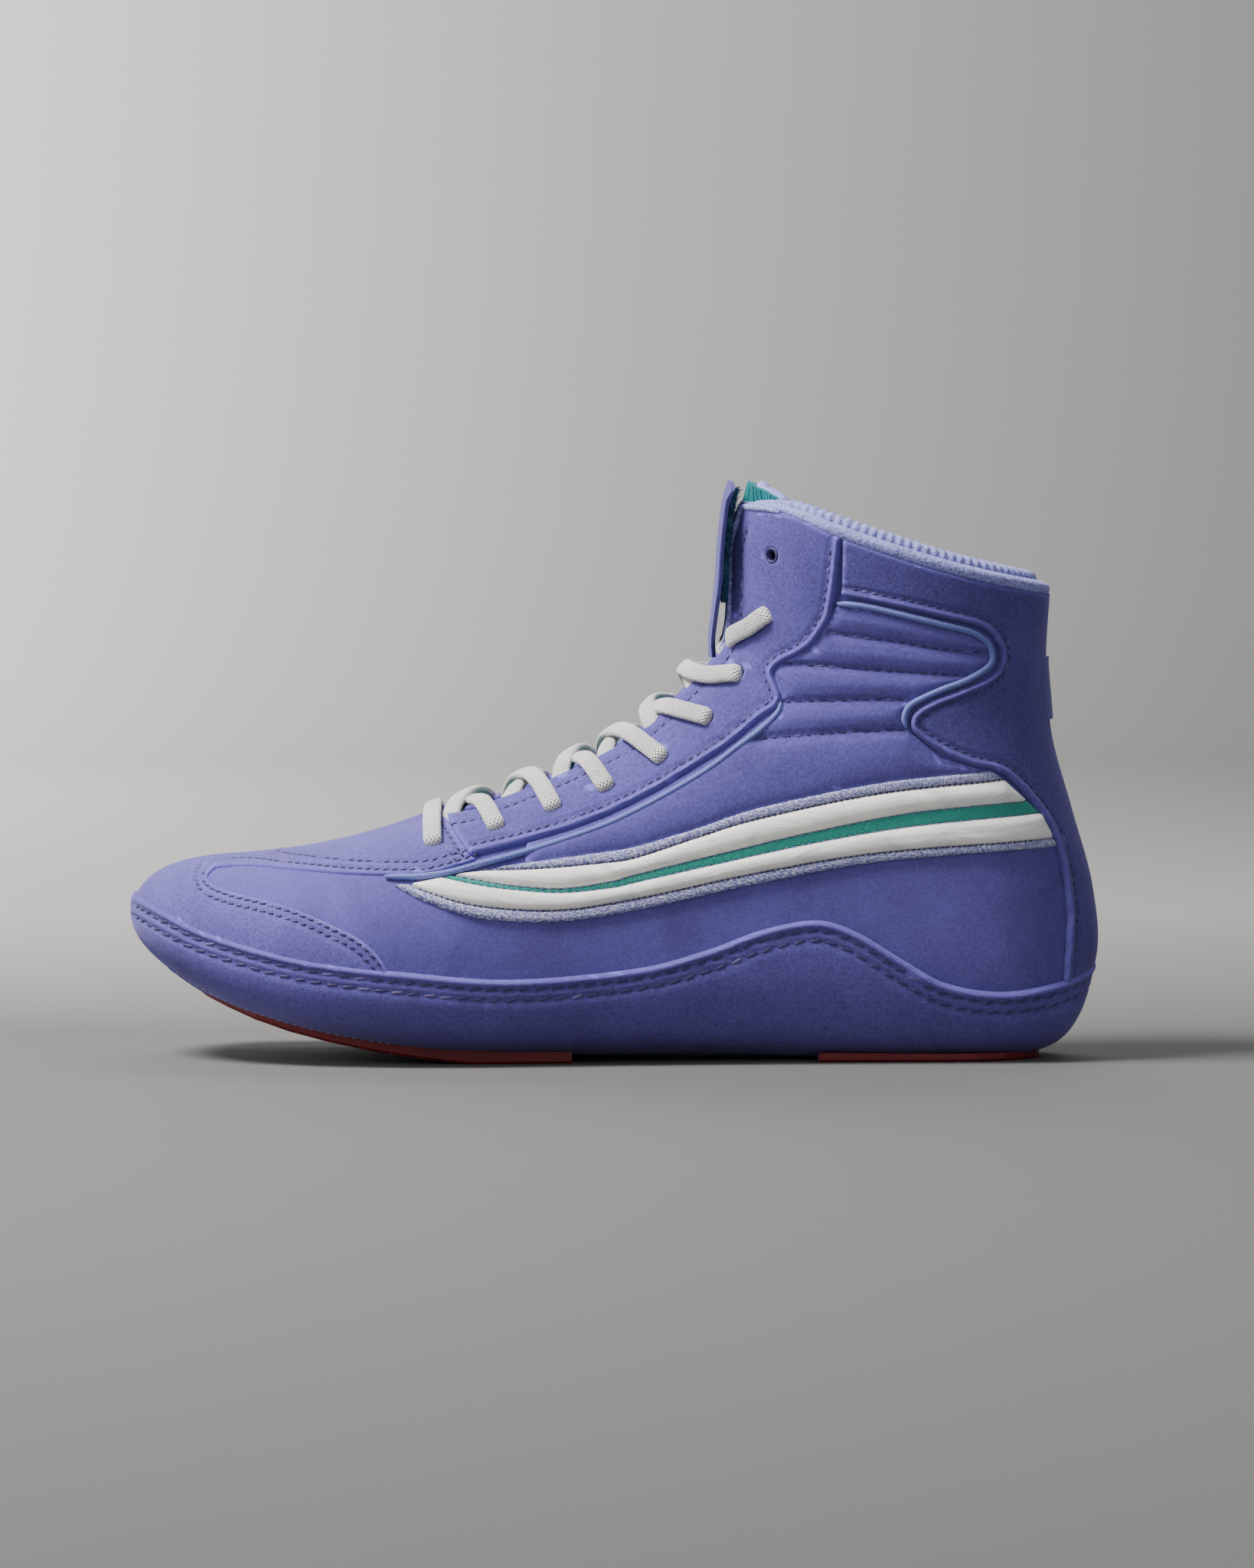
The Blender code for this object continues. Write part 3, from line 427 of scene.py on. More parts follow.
def bump(gap, width):
    """1 on a line, falling to 0 away from it."""
    return np.exp(-(gap / width) ** 2)


# ---------------------------------------------------------------- swept pieces
def frames(path, facing):
    """Unit vectors along and across a path whose outward directions are known."""
    along = np.gradient(path, axis=0)
    along /= np.maximum(np.linalg.norm(along, axis=1, keepdims=True), 1e-9)
    up = facing - (facing * along).sum(axis=1, keepdims=True) * along
    up /= np.maximum(np.linalg.norm(up, axis=1, keepdims=True), 1e-9)
    return along, np.cross(along, up), up


def tube_faces(count, around):
    """Faces of a closed tube: its rings joined, and both ends capped."""
    index = np.arange(count * around).reshape(count, around)
    nxt = np.roll(index, -1, axis=1)
    quads = np.stack([index[:-1], nxt[:-1], nxt[1:], index[1:]], axis=-1).reshape(-1, 4)
    return quads.tolist() + [index[0][::-1].tolist(), index[-1].tolist()]


def flow_grid(along, across):
    """The flow coordinates of a grid of points from its lengths both ways."""
    return np.stack(np.meshgrid(along, across, indexing="ij"), axis=-1).reshape(-1, 2)


def sweep(path, facing, profile, scale=None):
    """(points, faces, uv) of a closed profile (across, up) carried along a path."""
    path, facing = np.asarray(path, float), np.asarray(facing, float)
    profile = np.asarray(profile, float)
    scale = np.ones(len(path)) if scale is None else np.asarray(scale, float)
    _, across, up = frames(path, facing)
    rings = (path[:, None] + across[:, None] * profile[None, :, :1] * scale[:, None, None]
             + up[:, None] * profile[None, :, 1:] * scale[:, None, None])
    return (rings.reshape(-1, 3), tube_faces(*rings.shape[:2]),
            flow_grid(run_length(path), run_length(profile)))


def oval(wide, tall, count=12, power=1.0, lift=0.0):
    angle = 2 * math.pi * np.arange(count) / count
    c, s = np.cos(angle), np.sin(angle)
    return np.stack([wide * np.sign(c) * np.abs(c) ** power,
                     lift + tall * np.sign(s) * np.abs(s) ** power], axis=1)


def joined(parts):
    """Several (points, faces, uv) made one."""
    points, faces, flow, start = [], [], [], 0
    for part_points, part_faces, part_uv in parts:
        points.append(part_points)
        flow.append(part_uv)
        faces += [[start + k for k in face] for face in part_faces]
        start += len(part_points)
    return np.concatenate(points), faces, np.concatenate(flow)


def add_swept(name, made, finish, **where):
    """A piece from (points, faces, uv)."""
    points, faces, uv = made
    return add_mesh(name, points, faces, finish, uv=uv, **where)


def skin_path(line, side, height):
    """A side-view line laid on the boot at a height: its points and outward directions."""
    at, v, good = SKIN.locate(line, side)
    at, v = at[good], v[good]
    return SKIN.place(at, v, height), SKIN.outward(at, v)


def taper(count, ends, low=0.25):
    """1 along a path, falling to low over this many steps at each end."""
    k = np.arange(count)
    near = np.minimum(k, count - 1 - k) / max(ends, 1)
    return low + (1 - low) * np.sqrt(np.clip(1 - (1 - np.clip(near, 0, 1)) ** 2, 0, 1))


def tubes(name, line, finish, radius, height, slot, node):
    """A cord along a side-view line, on both sides of the boot, one piece each."""
    for label, side in SIDES.items():
        path, normal = skin_path(line, side, height)
        made = sweep(path, normal, oval(radius, radius), taper(len(path), 6))
        piece = add_swept(f"{name}_{label}", made, finish, slot=slot)
        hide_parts(f"{node}_{label}")


STITCHES = {"dark": [], "light": [], "glint": []}
THREAD_SIDES = 6
# Painted highlight: these stitches are drawn in a paler thread to stand in for light catching them.
GLINTS = 0.08          # share of the dark stitches that catch the light


def stitch(path, normal, pitch, size, slant, colours="dark", seed=0, sunk=0.25):
    """Slanted thread capsules along a path, sunk a little at both of their ends."""
    length = run_length(path)
    if length[-1] < pitch:
        return
    along, across, up = frames(path, normal)
    places = np.arange(pitch / 2, length[-1], pitch)
    rng = np.random.default_rng(seed)
    centre, t, c, n = (resample(values, length, places) for values in (path, along, across, up))
    turn = np.radians(slant + rng.normal(0, 5, len(places)))[:, None]
    way = t * np.cos(turn) + c * np.sin(turn)
    long, thick = size
    angles = 2 * math.pi * np.arange(THREAD_SIDES) / THREAD_SIDES
    for k in range(len(places)):
        side = np.cross(way[k], n[k])
        rings = []
        for share, radius, dip in ((-0.5, 0.45, sunk), (-0.3, 0.95, 0.0), (0, 1.0, -0.05),
                                   (0.3, 0.95, 0.0), (0.5, 0.45, sunk)):
            middle = centre[k] + way[k] * long * share - n[k] * dip
            rings.append(middle + radius * thick * (side * np.cos(angles)[:, None]
                                                    + n[k] * np.sin(angles)[:, None]))
        points = np.concatenate(rings)
        faces = tube_faces(len(rings), THREAD_SIDES)
        # Painted highlight: now and then a dark stitch takes the paler glint thread.
        kind = "glint" if colours == "dark" and rng.random() < GLINTS else colours
        STITCHES[kind].append((points, faces, np.zeros((len(points), 2))))


def sew(line, height, pitch=2.8, size=(2.1, 0.33), slant=14, colours="dark", sides=(-1, 1)):
    """A row of stitches along a side-view line."""
    for side in sides:
        path, normal = skin_path(line, side, height)
        if len(path) > 3:
            stitch(path, normal, pitch, size, slant * side, colours, seed=len(path))


# ---------------------------------------------------------------- materials
def tone(red, green, blue):
    """A linear colour from one given as it looks on screen, 0 to 255."""
    shares = np.array([red, green, blue]) / 255
    return tuple(np.where(shares < 0.04045, shares / 12.92, ((shares + 0.055) / 1.055) ** 2.4))


class Finish:
    """A procedural material, built a node at a time."""

    def __init__(self, name, roughness=0.8, sheen=0.0, specular=0.4, coat=0.0, tint=(1, 1, 1)):
        self.material = bpy.data.materials.new(name)
        self.material.use_nodes = True
        self.tree = self.material.node_tree
        self.shader = self.tree.nodes["Principled BSDF"]
        for socket, value in (("Roughness", roughness), ("Sheen Weight", sheen),
                              ("Sheen Roughness", 0.45), ("Specular IOR Level", specular),
                              ("Coat Weight", coat), ("Coat Roughness", 0.3)):
            self.shader.inputs[socket].default_value = value
        self.shader.inputs["Sheen Tint"].default_value = (*tint, 1)
        self.height = None
        self.bump_node = None

    def node(self, kind, **values):
        made = self.tree.nodes.new(kind)
        for key, value in values.items():
            if key in made.inputs and not hasattr(made, key):
                made.inputs[key].default_value = value
            else:
                setattr(made, key, value)
        return made

    def link(self, source, target):
        self.tree.links.new(source, target)
        return target

    def feed(self, value, target):
        """A socket linked, or set to a number or a colour."""
        if hasattr(value, "links"):
            self.link(value, target)
        else:
            target.default_value = value if np.isscalar(value) else (*value, 1)

    def place(self, flow=False, stretch=(1, 1, 1), turn=0.0):
        """Texture coordinates: the boot's own metres, or metres along and across the piece."""
        coordinates = self.node("ShaderNodeTexCoord")
        mapping = self.node("ShaderNodeMapping")
        mapping.inputs["Scale"].default_value = stretch
        mapping.inputs["Rotation"].default_value = (0, 0, turn)
        self.link(coordinates.outputs["UV" if flow else "Object"], mapping.inputs["Vector"])
        return mapping.outputs["Vector"]

    def noise(self, scale, detail=3.0, rough=0.55, place=None, warp=0.0):
        made = self.node("ShaderNodeTexNoise")
        for socket, value in (("Scale", scale), ("Detail", detail), ("Roughness", rough),
                              ("Distortion", warp)):
            made.inputs[socket].default_value = value
        self.link(place or self.place(), made.inputs["Vector"])
        return made.outputs["Fac"]

    def cells(self, scale, feature="F1", place=None):
        made = self.node("ShaderNodeTexVoronoi", feature=feature)
        made.inputs["Scale"].default_value = scale
        self.link(place or self.place(), made.inputs["Vector"])
        return made.outputs["Distance"]

    def wave(self, scale, place, way="X", profile="SIN", warp=0.0, fine=2.0):
        made = self.node("ShaderNodeTexWave", wave_type="BANDS", bands_direction=way,
                         wave_profile=profile)
        for socket, value in (("Scale", scale), ("Distortion", warp), ("Detail", 1.0),
                              ("Detail Scale", fine)):
            made.inputs[socket].default_value = value
        self.link(place, made.inputs["Vector"])
        return made.outputs["Fac"]

    def ramp(self, factor, *stops):
        made = self.node("ShaderNodeValToRGB")
        bar = made.color_ramp.elements
        while len(bar) < len(stops):
            bar.new(0.5)
        for element, (place, colour) in zip(bar, stops):
            element.position = place
            element.color = (*colour, 1) if not np.isscalar(colour) else (colour,) * 3 + (1,)
        self.link(factor, made.inputs["Fac"])
        return made.outputs["Color"]

    def mix(self, factor, a, b, kind="MIX"):
        made = self.node("ShaderNodeMix", data_type="RGBA", blend_type=kind)
        for value, socket in ((factor, 0), (a, 6), (b, 7)):
            self.feed(value, made.inputs[socket])
        return made.outputs[2]

    def math(self, operation, a, b):
        made = self.node("ShaderNodeMath", operation=operation)
        self.feed(a, made.inputs[0])
        self.feed(b, made.inputs[1])
        return made.outputs[0]

    def colour(self, source):
        self.link(source, self.shader.inputs["Base Color"])

    def rough(self, source, low, high):
        self.link(self.ramp(source, (0.2, low), (0.8, high)), self.shader.inputs["Roughness"])

    def bump(self, source, strength, distance):
        """Relief, laid over any relief that the material already has."""
        made = self.node("ShaderNodeBump")
        made.inputs["Strength"].default_value = strength
        made.inputs["Distance"].default_value = distance * MM
        self.link(source, made.inputs["Height"])
        if self.bump_node:
            self.link(self.bump_node.outputs["Normal"], made.inputs["Normal"])
        self.bump_node = made
        self.link(made.outputs["Normal"], self.shader.inputs["Normal"])


def shade(colour, amount):
    return tuple(min(1.0, c * amount) for c in colour)


def suede(name, colour, nap=1.0):
    """Short napped suede: brushed patches, fine fibre and a paler colour on sharply convex edges."""
    made = Finish(name, 0.9, sheen=0.3, specular=0.12, tint=tone(190, 182, 236))
    brushed = made.noise(42, 4, 0.6, warp=0.6)
    nap_tone = made.ramp(brushed, (0.3, shade(colour, 0.84)), (0.52, colour),
                         (0.74, shade(colour, 1.16)))
    fibre = made.noise(1050, 4, 0.7)
    speck = made.ramp(fibre, (0.36, 0.55), (0.62, 1.0))
    tone_now = made.mix(0.75 * nap, nap_tone, speck, "MULTIPLY")
    # Paler colour where the surface is sharply convex, along the rolled edges.
    edge = made.node("ShaderNodeNewGeometry").outputs["Pointiness"]
    pale_edge_mask = made.ramp(edge, (0.505, 0.0), (0.56, 0.55))
    made.colour(made.mix(pale_edge_mask, tone_now, shade(colour, 2.1)))
    made.rough(brushed, 0.8, 0.95)
    made.bump(made.noise(230, 3, 0.6), 0.2, 0.45)
    made.bump(fibre, 0.6 * nap, 0.3)
    return made.material


def melange(name, colour, ribs=0.0, way="Y", flow=True):
    """Marled knit: pale and dark yarn mixed, with columns of ribs if asked."""
    made = Finish(name, 0.92, sheen=0.15, specular=0.12, tint=tone(205, 208, 240))
    grain = made.noise(1400, 2, 0.7)
    patch = made.noise(260, 3, 0.7, warp=1.2)
    yarn = made.ramp(grain, (0.34, shade(colour, 0.52)), (0.5, colour),
                     (0.66, shade(colour, 1.75)))
    made.colour(made.mix(made.ramp(patch, (0.35, 0.0), (0.7, 0.6)), yarn, shade(colour, 1.5)))
    if ribs:
        made.bump(made.wave(ribs, made.place(flow), way, warp=0.8), 0.6, 0.6)
    made.bump(made.cells(900), 0.45, 0.35)
    made.bump(grain, 0.35, 0.2)
    return made.material


VIOLET = tone(96, 89, 160)
# Painted shade: the second violet is a slightly darker copy of the one violet suede.
SHADED_VIOLET = tone(91, 84, 154)
# Painted shade: the third violet, for the heel wrap, is a darker copy of the one violet suede,
# standing in for the shade on the heel.
HEEL_SHADED_VIOLET = tone(84, 78, 144)
LILAC = tone(128, 130, 184)
WHITE = tone(240, 238, 232)
TEAL = tone(16, 128, 132)
SKY = tone(100, 110, 184)
# Painted shade: the outsole red is darkened to stand in for the shadow under the boot.
SHADED_RED = tone(104, 15, 26)


def rib_knit():
    """The tongue's teal rib knit."""
    made = Finish("teal_rib_knit", 0.9, sheen=0.35, specular=0.15, tint=tone(150, 215, 220))
    ribs = made.wave(330, made.place(True), "Y", warp=1.4, fine=30)
    mesh = made.cells(1100, place=made.place(True, (1.0, 1.5, 1.0)))
    base = made.ramp(ribs, (0.1, shade(TEAL, 0.42)), (0.62, TEAL), (0.95, shade(TEAL, 1.45)))
    made.colour(made.mix(0.35, base, made.ramp(mesh, (0.1, 1.0), (0.6, 0.45)), "MULTIPLY"))
    made.bump(ribs, 0.65, 0.6)
    made.bump(mesh, 0.4, 0.3)
    return made.material


def soft_leather():
    """White synthetic leather, faintly creased and a little dusty in the grain."""
    made = Finish("white_soft_leather", 0.42, specular=0.45, coat=0.08)
    crease = made.noise(75, 5, 0.62, made.place(stretch=(0.55, 1, 1.3)), warp=1.6)
    grain = made.cells(1250, "DISTANCE_TO_EDGE")
    tint = made.ramp(crease, (0.3, tone(208, 214, 214)), (0.55, WHITE), (0.8, tone(246, 246, 243)))
    made.colour(made.mix(0.12, tint, made.ramp(grain, (0.0, 0.4), (0.2, 1.0)), "MULTIPLY"))
    made.rough(crease, 0.36, 0.55)
    made.bump(crease, 0.5, 1.1)
    made.bump(grain, 0.25, 0.12)
    return made.material


def satin(name, colour, thread, scale=620, way="X"):
    """Ribbed satin ribbon whose threads catch the light, in specks of a painted highlight colour."""
    made = Finish(name, 0.34, sheen=0.2, specular=0.5)
    ribs = made.wave(scale, made.place(True), way, warp=0.5, fine=40)
    # Painted highlight: specks of the pale thread colour laid over the ribs stand in for light
    # catching the threads.
    glint = made.noise(900, 2, 0.8, made.place(True, (1, 2.4, 1)))
    base = made.ramp(ribs, (0.15, shade(colour, 0.6)), (0.8, shade(colour, 1.25)))
    made.colour(made.mix(made.ramp(glint, (0.46, 0.0), (0.6, 0.9)), base, thread))
    made.bump(ribs, 0.6, 0.4)
    made.bump(glint, 0.4, 0.2)
    return made.material


def cord(name, colour):
    """Bound piping: fine slanted thread round a cord."""
    made = Finish(name, 0.55, sheen=0.3, specular=0.4)
    wound = made.wave(520, made.place(True, turn=0.5), "X", warp=0.4, fine=30)
    made.colour(made.ramp(wound, (0.1, shade(colour, 0.62)), (0.7, colour),
                          (1.0, shade(colour, 1.4))))
    made.bump(wound, 0.5, 0.25)
    return made.material


def rubber(name, colour, tread=False):
    """Moulded rubber, with a diamond tread if asked."""
    made = Finish(name, 0.5, specular=0.45)
    dust = made.noise(60, 5, 0.65)
    made.colour(made.ramp(dust, (0.35, shade(colour, 0.8)), (0.6, colour),
                          (0.8, shade(colour, 1.25))))
    made.rough(dust, 0.42, 0.62)
    made.bump(made.noise(900, 2, 0.5), 0.15, 0.15)
    if tread:
        first = made.wave(55, made.place(turn=0.79), "X", "TRI")
        second = made.wave(55, made.place(turn=-0.79), "X", "TRI")
        block = made.math("MAXIMUM", first, second)
        facing = made.node("ShaderNodeSeparateXYZ")
        made.link(made.node("ShaderNodeNewGeometry").outputs["Normal"], facing.inputs[0])
        under = made.ramp(made.math("MULTIPLY", facing.outputs[2], -1.0), (0.6, 0.0), (0.9, 1.0))
        groove = made.ramp(block, (0.72, 1.0), (0.86, 0.0))
        made.bump(made.math("MULTIPLY", groove, under), 0.9, 1.2)
    return made.material


def flat_braid():
    """The lace: white tape woven in fine chevrons."""
    made = Finish("white_flat_braid", 0.85, sheen=0.3, specular=0.2)
    one = made.wave(430, made.place(True, turn=0.62), "X")
    two = made.wave(430, made.place(True, turn=-0.62), "X")
    weave = made.math("MAXIMUM", one, two)
    soil = made.noise(90, 4, 0.6)
    base = made.ramp(weave, (0.35, tone(176, 176, 182)), (0.85, tone(242, 240, 236)))
    made.colour(made.mix(0.3, base, made.ramp(soil, (0.3, 0.72), (0.6, 1.0)), "MULTIPLY"))
    made.bump(weave, 0.9, 0.5)
    made.bump(made.noise(1300, 2, 0.6), 0.5, 0.25)
    return made.material


def hook_tape(name, colour, tip):
    """Fuzzy hook-and-loop tape: a thicket of fine fibre loops."""
    made = Finish(name, 0.95, sheen=0.7, specular=0.2, tint=tone(120, 150, 220))
    fuzz = made.cells(1500)
    clump = made.noise(300, 4, 0.7)
    fibre = made.ramp(fuzz, (0.1, shade(colour, 1.6)), (0.6, shade(colour, 0.4)))
    made.colour(made.mix(made.ramp(clump, (0.4, 0.0), (0.7, 0.7)), fibre, tip))
    made.bump(fuzz, 0.9, 0.7)
    made.bump(clump, 0.5, 0.8)
    return made.material


def plain_cloth(name, colour, scale=700):
    """Brushed lining cloth and board: an even weave with soft wear."""
    made = Finish(name, 0.9, sheen=0.2, specular=0.2)
    one = made.wave(scale, made.place(), "X")
    two = made.wave(scale, made.place(), "Z")
    weave = made.math("MULTIPLY", one, two)
    wear = made.noise(50, 4, 0.6)
    base = made.ramp(weave, (0.1, shade(colour, 0.7)), (0.8, shade(colour, 1.15)))
    made.colour(made.mix(0.4, base, made.ramp(wear, (0.3, 0.6), (0.65, 1.0)), "MULTIPLY"))
    made.bump(weave, 0.4, 0.25)
    return made.material


def thread(name, colour):
    made = Finish(name, 0.5, sheen=0.3, specular=0.45)
    ply = made.noise(2600, 2, 0.6)
    made.colour(made.ramp(ply, (0.3, shade(colour, 0.6)), (0.7, shade(colour, 1.3))))
    made.bump(ply, 0.5, 0.1)
    return made.material


MAT = {
    "suede": suede("violet_suede", VIOLET),
    # Painted shade: the darker suede is a shaded copy of the one violet suede.
    "suede_shaded": suede("shaded_violet_suede", SHADED_VIOLET),
    # Painted shade: the heel's suede is a darker shaded copy of the one violet suede.
    "suede_heel_shaded": suede("heel_shaded_violet_suede", HEEL_SHADED_VIOLET),
    "cloth": suede("violet_microfibre", SHADED_VIOLET, 0.7),
    "quilt": suede("quilted_suede", SHADED_VIOLET, 0.9),
    "knit": melange("lilac_melange", LILAC),
    "rib": melange("lilac_ribbed_lining", LILAC, ribs=300),
    "tongue": rib_knit(),
    "leather": soft_leather(),
    # Painted highlight: each satin's second colour is a painted highlight on its threads.
    "inlay": satin("teal_satin", tone(6, 138, 126), tone(24, 168, 154), 560),
    "satin": satin("lilac_satin", tone(106, 108, 180), tone(232, 233, 248), 700),
    "piping": cord("sky_piping", SKY),
    # Painted shade: the red rubber's colour is darkened for the shadow under the boot.
    "red": rubber("red_rubber", SHADED_RED, tread=True),
    "badge": rubber("plain_badge", tone(92, 90, 156)),
    "lace": flat_braid(),
    "hook": hook_tape("slate_hook_tape", tone(36, 62, 96), tone(74, 124, 150)),
    "board": plain_cloth("fibre_board", tone(205, 192, 165), 400),
    "footbed": plain_cloth("footbed_cloth", LILAC),
    "dark": thread("indigo_thread", tone(44, 34, 92)),
    "light": thread("pale_thread", tone(128, 126, 178)),
    # Painted highlight: the glint stitches' paler thread stands in for light catching the dark
    # thread.
    "glint": thread("painted_glint_thread", tone(104, 88, 146)),
}


# ---------------------------------------------------------------- side-view lines
RAND_TOP = smooth([(-150, 48.6), (-142, 48.4), (-134, 45.4), (-122, 40.2), (-106, 35.5),
                   (-88, 31.7), (-59, 28.4), (-29, 26.2), (7, 29.1), (28, 34.4), (45, 40.5),
                   (61, 43.2), (73, 39.6), (88, 30.5), (100, 24), (117, 21.4), (135, 24.5),
                   (150, 31)])
SOLE_LINE = smooth([(-150, 36), (-141, 33.6), (-132.5, 27), (-122, 20.5), (-108, 14.6),
                    (-91, 9.8), (-72, 6), (-51, 3.4), (-28, 2.4), (28, 2.4), (62, 1.5),
                    (98, 1.2), (150, 1.2)])
CAP_EDGE = smooth([(-66, 28.6), (-68.9, 33.1), (-74.6, 38.4), (-83.5, 42.8), (-92.3, 46.4),
                   (-102.3, 49.2), (-112.3, 51.2), (-119, 53.2), (-121.4, 55.2), (-120.7, 56.6),
                   (-118.3, 58.2), (-108.3, 59.0), (-94.4, 58.2), (-74.6, 57.2), (-57, 57.4),
                   (-48.1, 59.2), (-39.7, 61.8)])
VAMP_SEAM = smooth([(-42.5, 63.2), (-46, 68), (-49, 72.5), (-52, 78)])
THROAT = smooth([(-53.4, 72), (-50.1, 73.6), (-41.4, 75.3), (-34.8, 78), (-24.9, 81.7),
                 (-10.9, 87.7), (4.7, 95.9), (14, 103.2), (25.2, 114.3), (32.6, 122.5),
                 (35.6, 130), (36.3, 142), (36.6, 154), (38.4, 161.6)])
EYESTAY_REAR = smooth([(68, 157), (67, 146), (65.7, 136.8), (64.5, 132.4), (60.1, 125.6),
                       (55.6, 122.1), (51.2, 119.8), (48.3, 116.8), (49.4, 113), (50.6, 109.4),
                       (49, 106), (45, 103.4), (34.7, 95), (24.4, 88.3), (12, 80.9), (-4.5, 73.1),
                       (-23, 67.1), (-41, 62.8)])
EYESTAY_PIPING = smooth([(50.4, 108.2), (49.5, 104.9), (45, 100.3), (36.8, 94.1), (28.5, 87.9),
                         (16.1, 80.5), (5.8, 75.1), (-4.5, 70.6), (-23, 64.5), (-39.3, 60.1),
                         (-48.1, 57.8), (-57, 56.5), (-67.6, 56.3)])
ANKLE_PIPING = smooth([(66.9, 137.5), (75.6, 136.6), (89.3, 133.4), (98.4, 131.1),
                       (106.7, 128.9), (111.2, 126.1), (113, 122.5), (112.1, 118.8),
                       (105.7, 114.7), (98.4, 112), (92, 109.2), (88.4, 106.9), (87, 103.7),
                       (87.5, 100.5)])
HEEL_EDGE = smooth([(68.2, 139.6), (78.3, 137.6), (89.3, 135.2), (98.4, 133), (107.6, 130.8),
                    (112.4, 128.2), (115, 124.3), (115.2, 119.9), (112.1, 115.8), (103, 111.7),
                    (94.8, 108.5), (89.6, 104.8), (88.8, 100.7), (92, 97), (98.4, 93),
                    (106.6, 89.4), (115, 87.2), (120.5, 83), (124.7, 78.3), (128.5, 73.4),
                    (131.5, 68.1), (134, 60), (135.8, 48.3), (136.2, 41.3), (135, 24.5)])
STRIPE = [smooth(line) for line in (
    [(-65.2, 54.4), (-54.4, 49.3), (-37.4, 44.3), (-16.2, 43.3), (7, 46.5), (43.6, 54.2),
     (80.1, 60.6), (133, 64.8)],
    [(-60.5, 54.4), (-53.3, 51.6), (-39.5, 48), (-16.2, 46.6), (7, 49.8), (43.6, 57.4),
     (80.1, 63.3), (132, 67.2)],
    [(-50.5, 56.4), (-40, 54.2), (-30, 52.8), (-15, 51.8), (0, 53.2), (7, 54.7), (30, 59.8),
     (60, 66.2), (90, 71.2), (128, 74.9)],
    [(-48.5, 57.2), (-38, 55.3), (-30, 54.0), (-15, 53.0), (0, 55.0), (7, 56.9), (30, 62.5),
     (60, 69.5), (90, 75.2), (124, 78.5)],
    [(-38.5, 58.4), (-21.5, 58.9), (-4, 60.4), (7, 62), (25.3, 67.9), (43.6, 73.4), (80.1, 81),
     (117, 85)],
    [(-32.1, 59.8), (-18.8, 61.6), (-4, 63.6), (7, 65.4), (25.3, 70.7), (43.6, 76.7),
     (80.1, 84.2), (113, 87.6)])]
COLLAR_LINE = smooth([(38, 166), (43.3, 165.6), (49.8, 164.6), (58, 161.6), (68, 157),
                      (88, 150.2), (107, 144.8), (131, 139.6), (150, 136)])
QUILT = [smooth(line) for line in (
    [(64.2, 128.9), (72.9, 127.5), (84.7, 126.1), (98.4, 123.8), (112.1, 122.6)],
    [(50.9, 119.6), (75.6, 117.9), (89.3, 117), (105.7, 116.1)],
    [(50.6, 108.1), (75.6, 108.8), (88.8, 108.8)],
    [(43.6, 97.2), (66.4, 99), (88.5, 100.1)])]
EYELETS = [(-52.6, 66.7), (-34.8, 71.2), (-17.9, 77), (-2.2, 83.1), (14.1, 91.7),
           (28.1, 103.2), (37.6, 116.4), (45.6, 133.3), (47.9, 151.7)]


def above(line, amount):
    return np.asarray(line) + (0, amount)


def between(line, low, high):
    """The part of a side-view line whose x lies in a range."""
    line = np.asarray(line)
    return line[(line[:, 0] > low) & (line[:, 0] < high)]


# ---------------------------------------------------------------- panels
def make_base():
    """The main side panels, which every overlay is sewn on."""
    low = between(above(SOLE_LINE, 2.0), -144, 150)
    outline = np.concatenate([low, between(COLLAR_LINE, 38, 150)[::-1], THROAT[::-1],
                              [(-56, 95), (-150, 95)]])
    for label, side in SIDES.items():
        panel(f"side_{label}", outline, MAT["cloth"],
              lambda edge, gaps: -0.75 + 0 * edge, side=side, depth=-1.8, slot="cloth",
              holes=EYELETS[1:], node=(f"quarter_{label}", f"lining_{label}"))


RUBBER_START = -131.5


def make_rand():
    top = between(RAND_TOP, -149, 149)
    low = between(SOLE_LINE, -149, 149)
    low[:, 1] += np.interp(low[:, 0], (-131, -118, -62, -44), (1.0, 0.4, 0.0, 0.9))
    low[low[:, 0] < RUBBER_START, 1] -= 9.0
    rows = [sidestep(top, 3.0), sidestep(top, 6.0)]

    def height(edge, gaps):
        rise = rolled(edge, -0.6, 0.95, 1.5)
        return (rise - 0.6 * bump(gaps[0], 0.75) - 0.6 * bump(gaps[1], 0.75)
                + 0.35 * bump(edge - 1.3, 0.8))

    panel("rand_strip", np.concatenate([top, low[::-1]]), MAT["suede_shaded"], height,
          levels=(0.4, 1.0, 1.7), lines=rows, slot="suede", node="rand")
    for row in rows:
        sew(between(row, -143.6, 143), 0.5, pitch=4.9, size=(4.1, 0.42), slant=13)
    sew(between(above(SOLE_LINE, 2.2), -131, -66), 0.95, pitch=2.6, size=(1.7, 0.22),
        slant=4, colours="light")


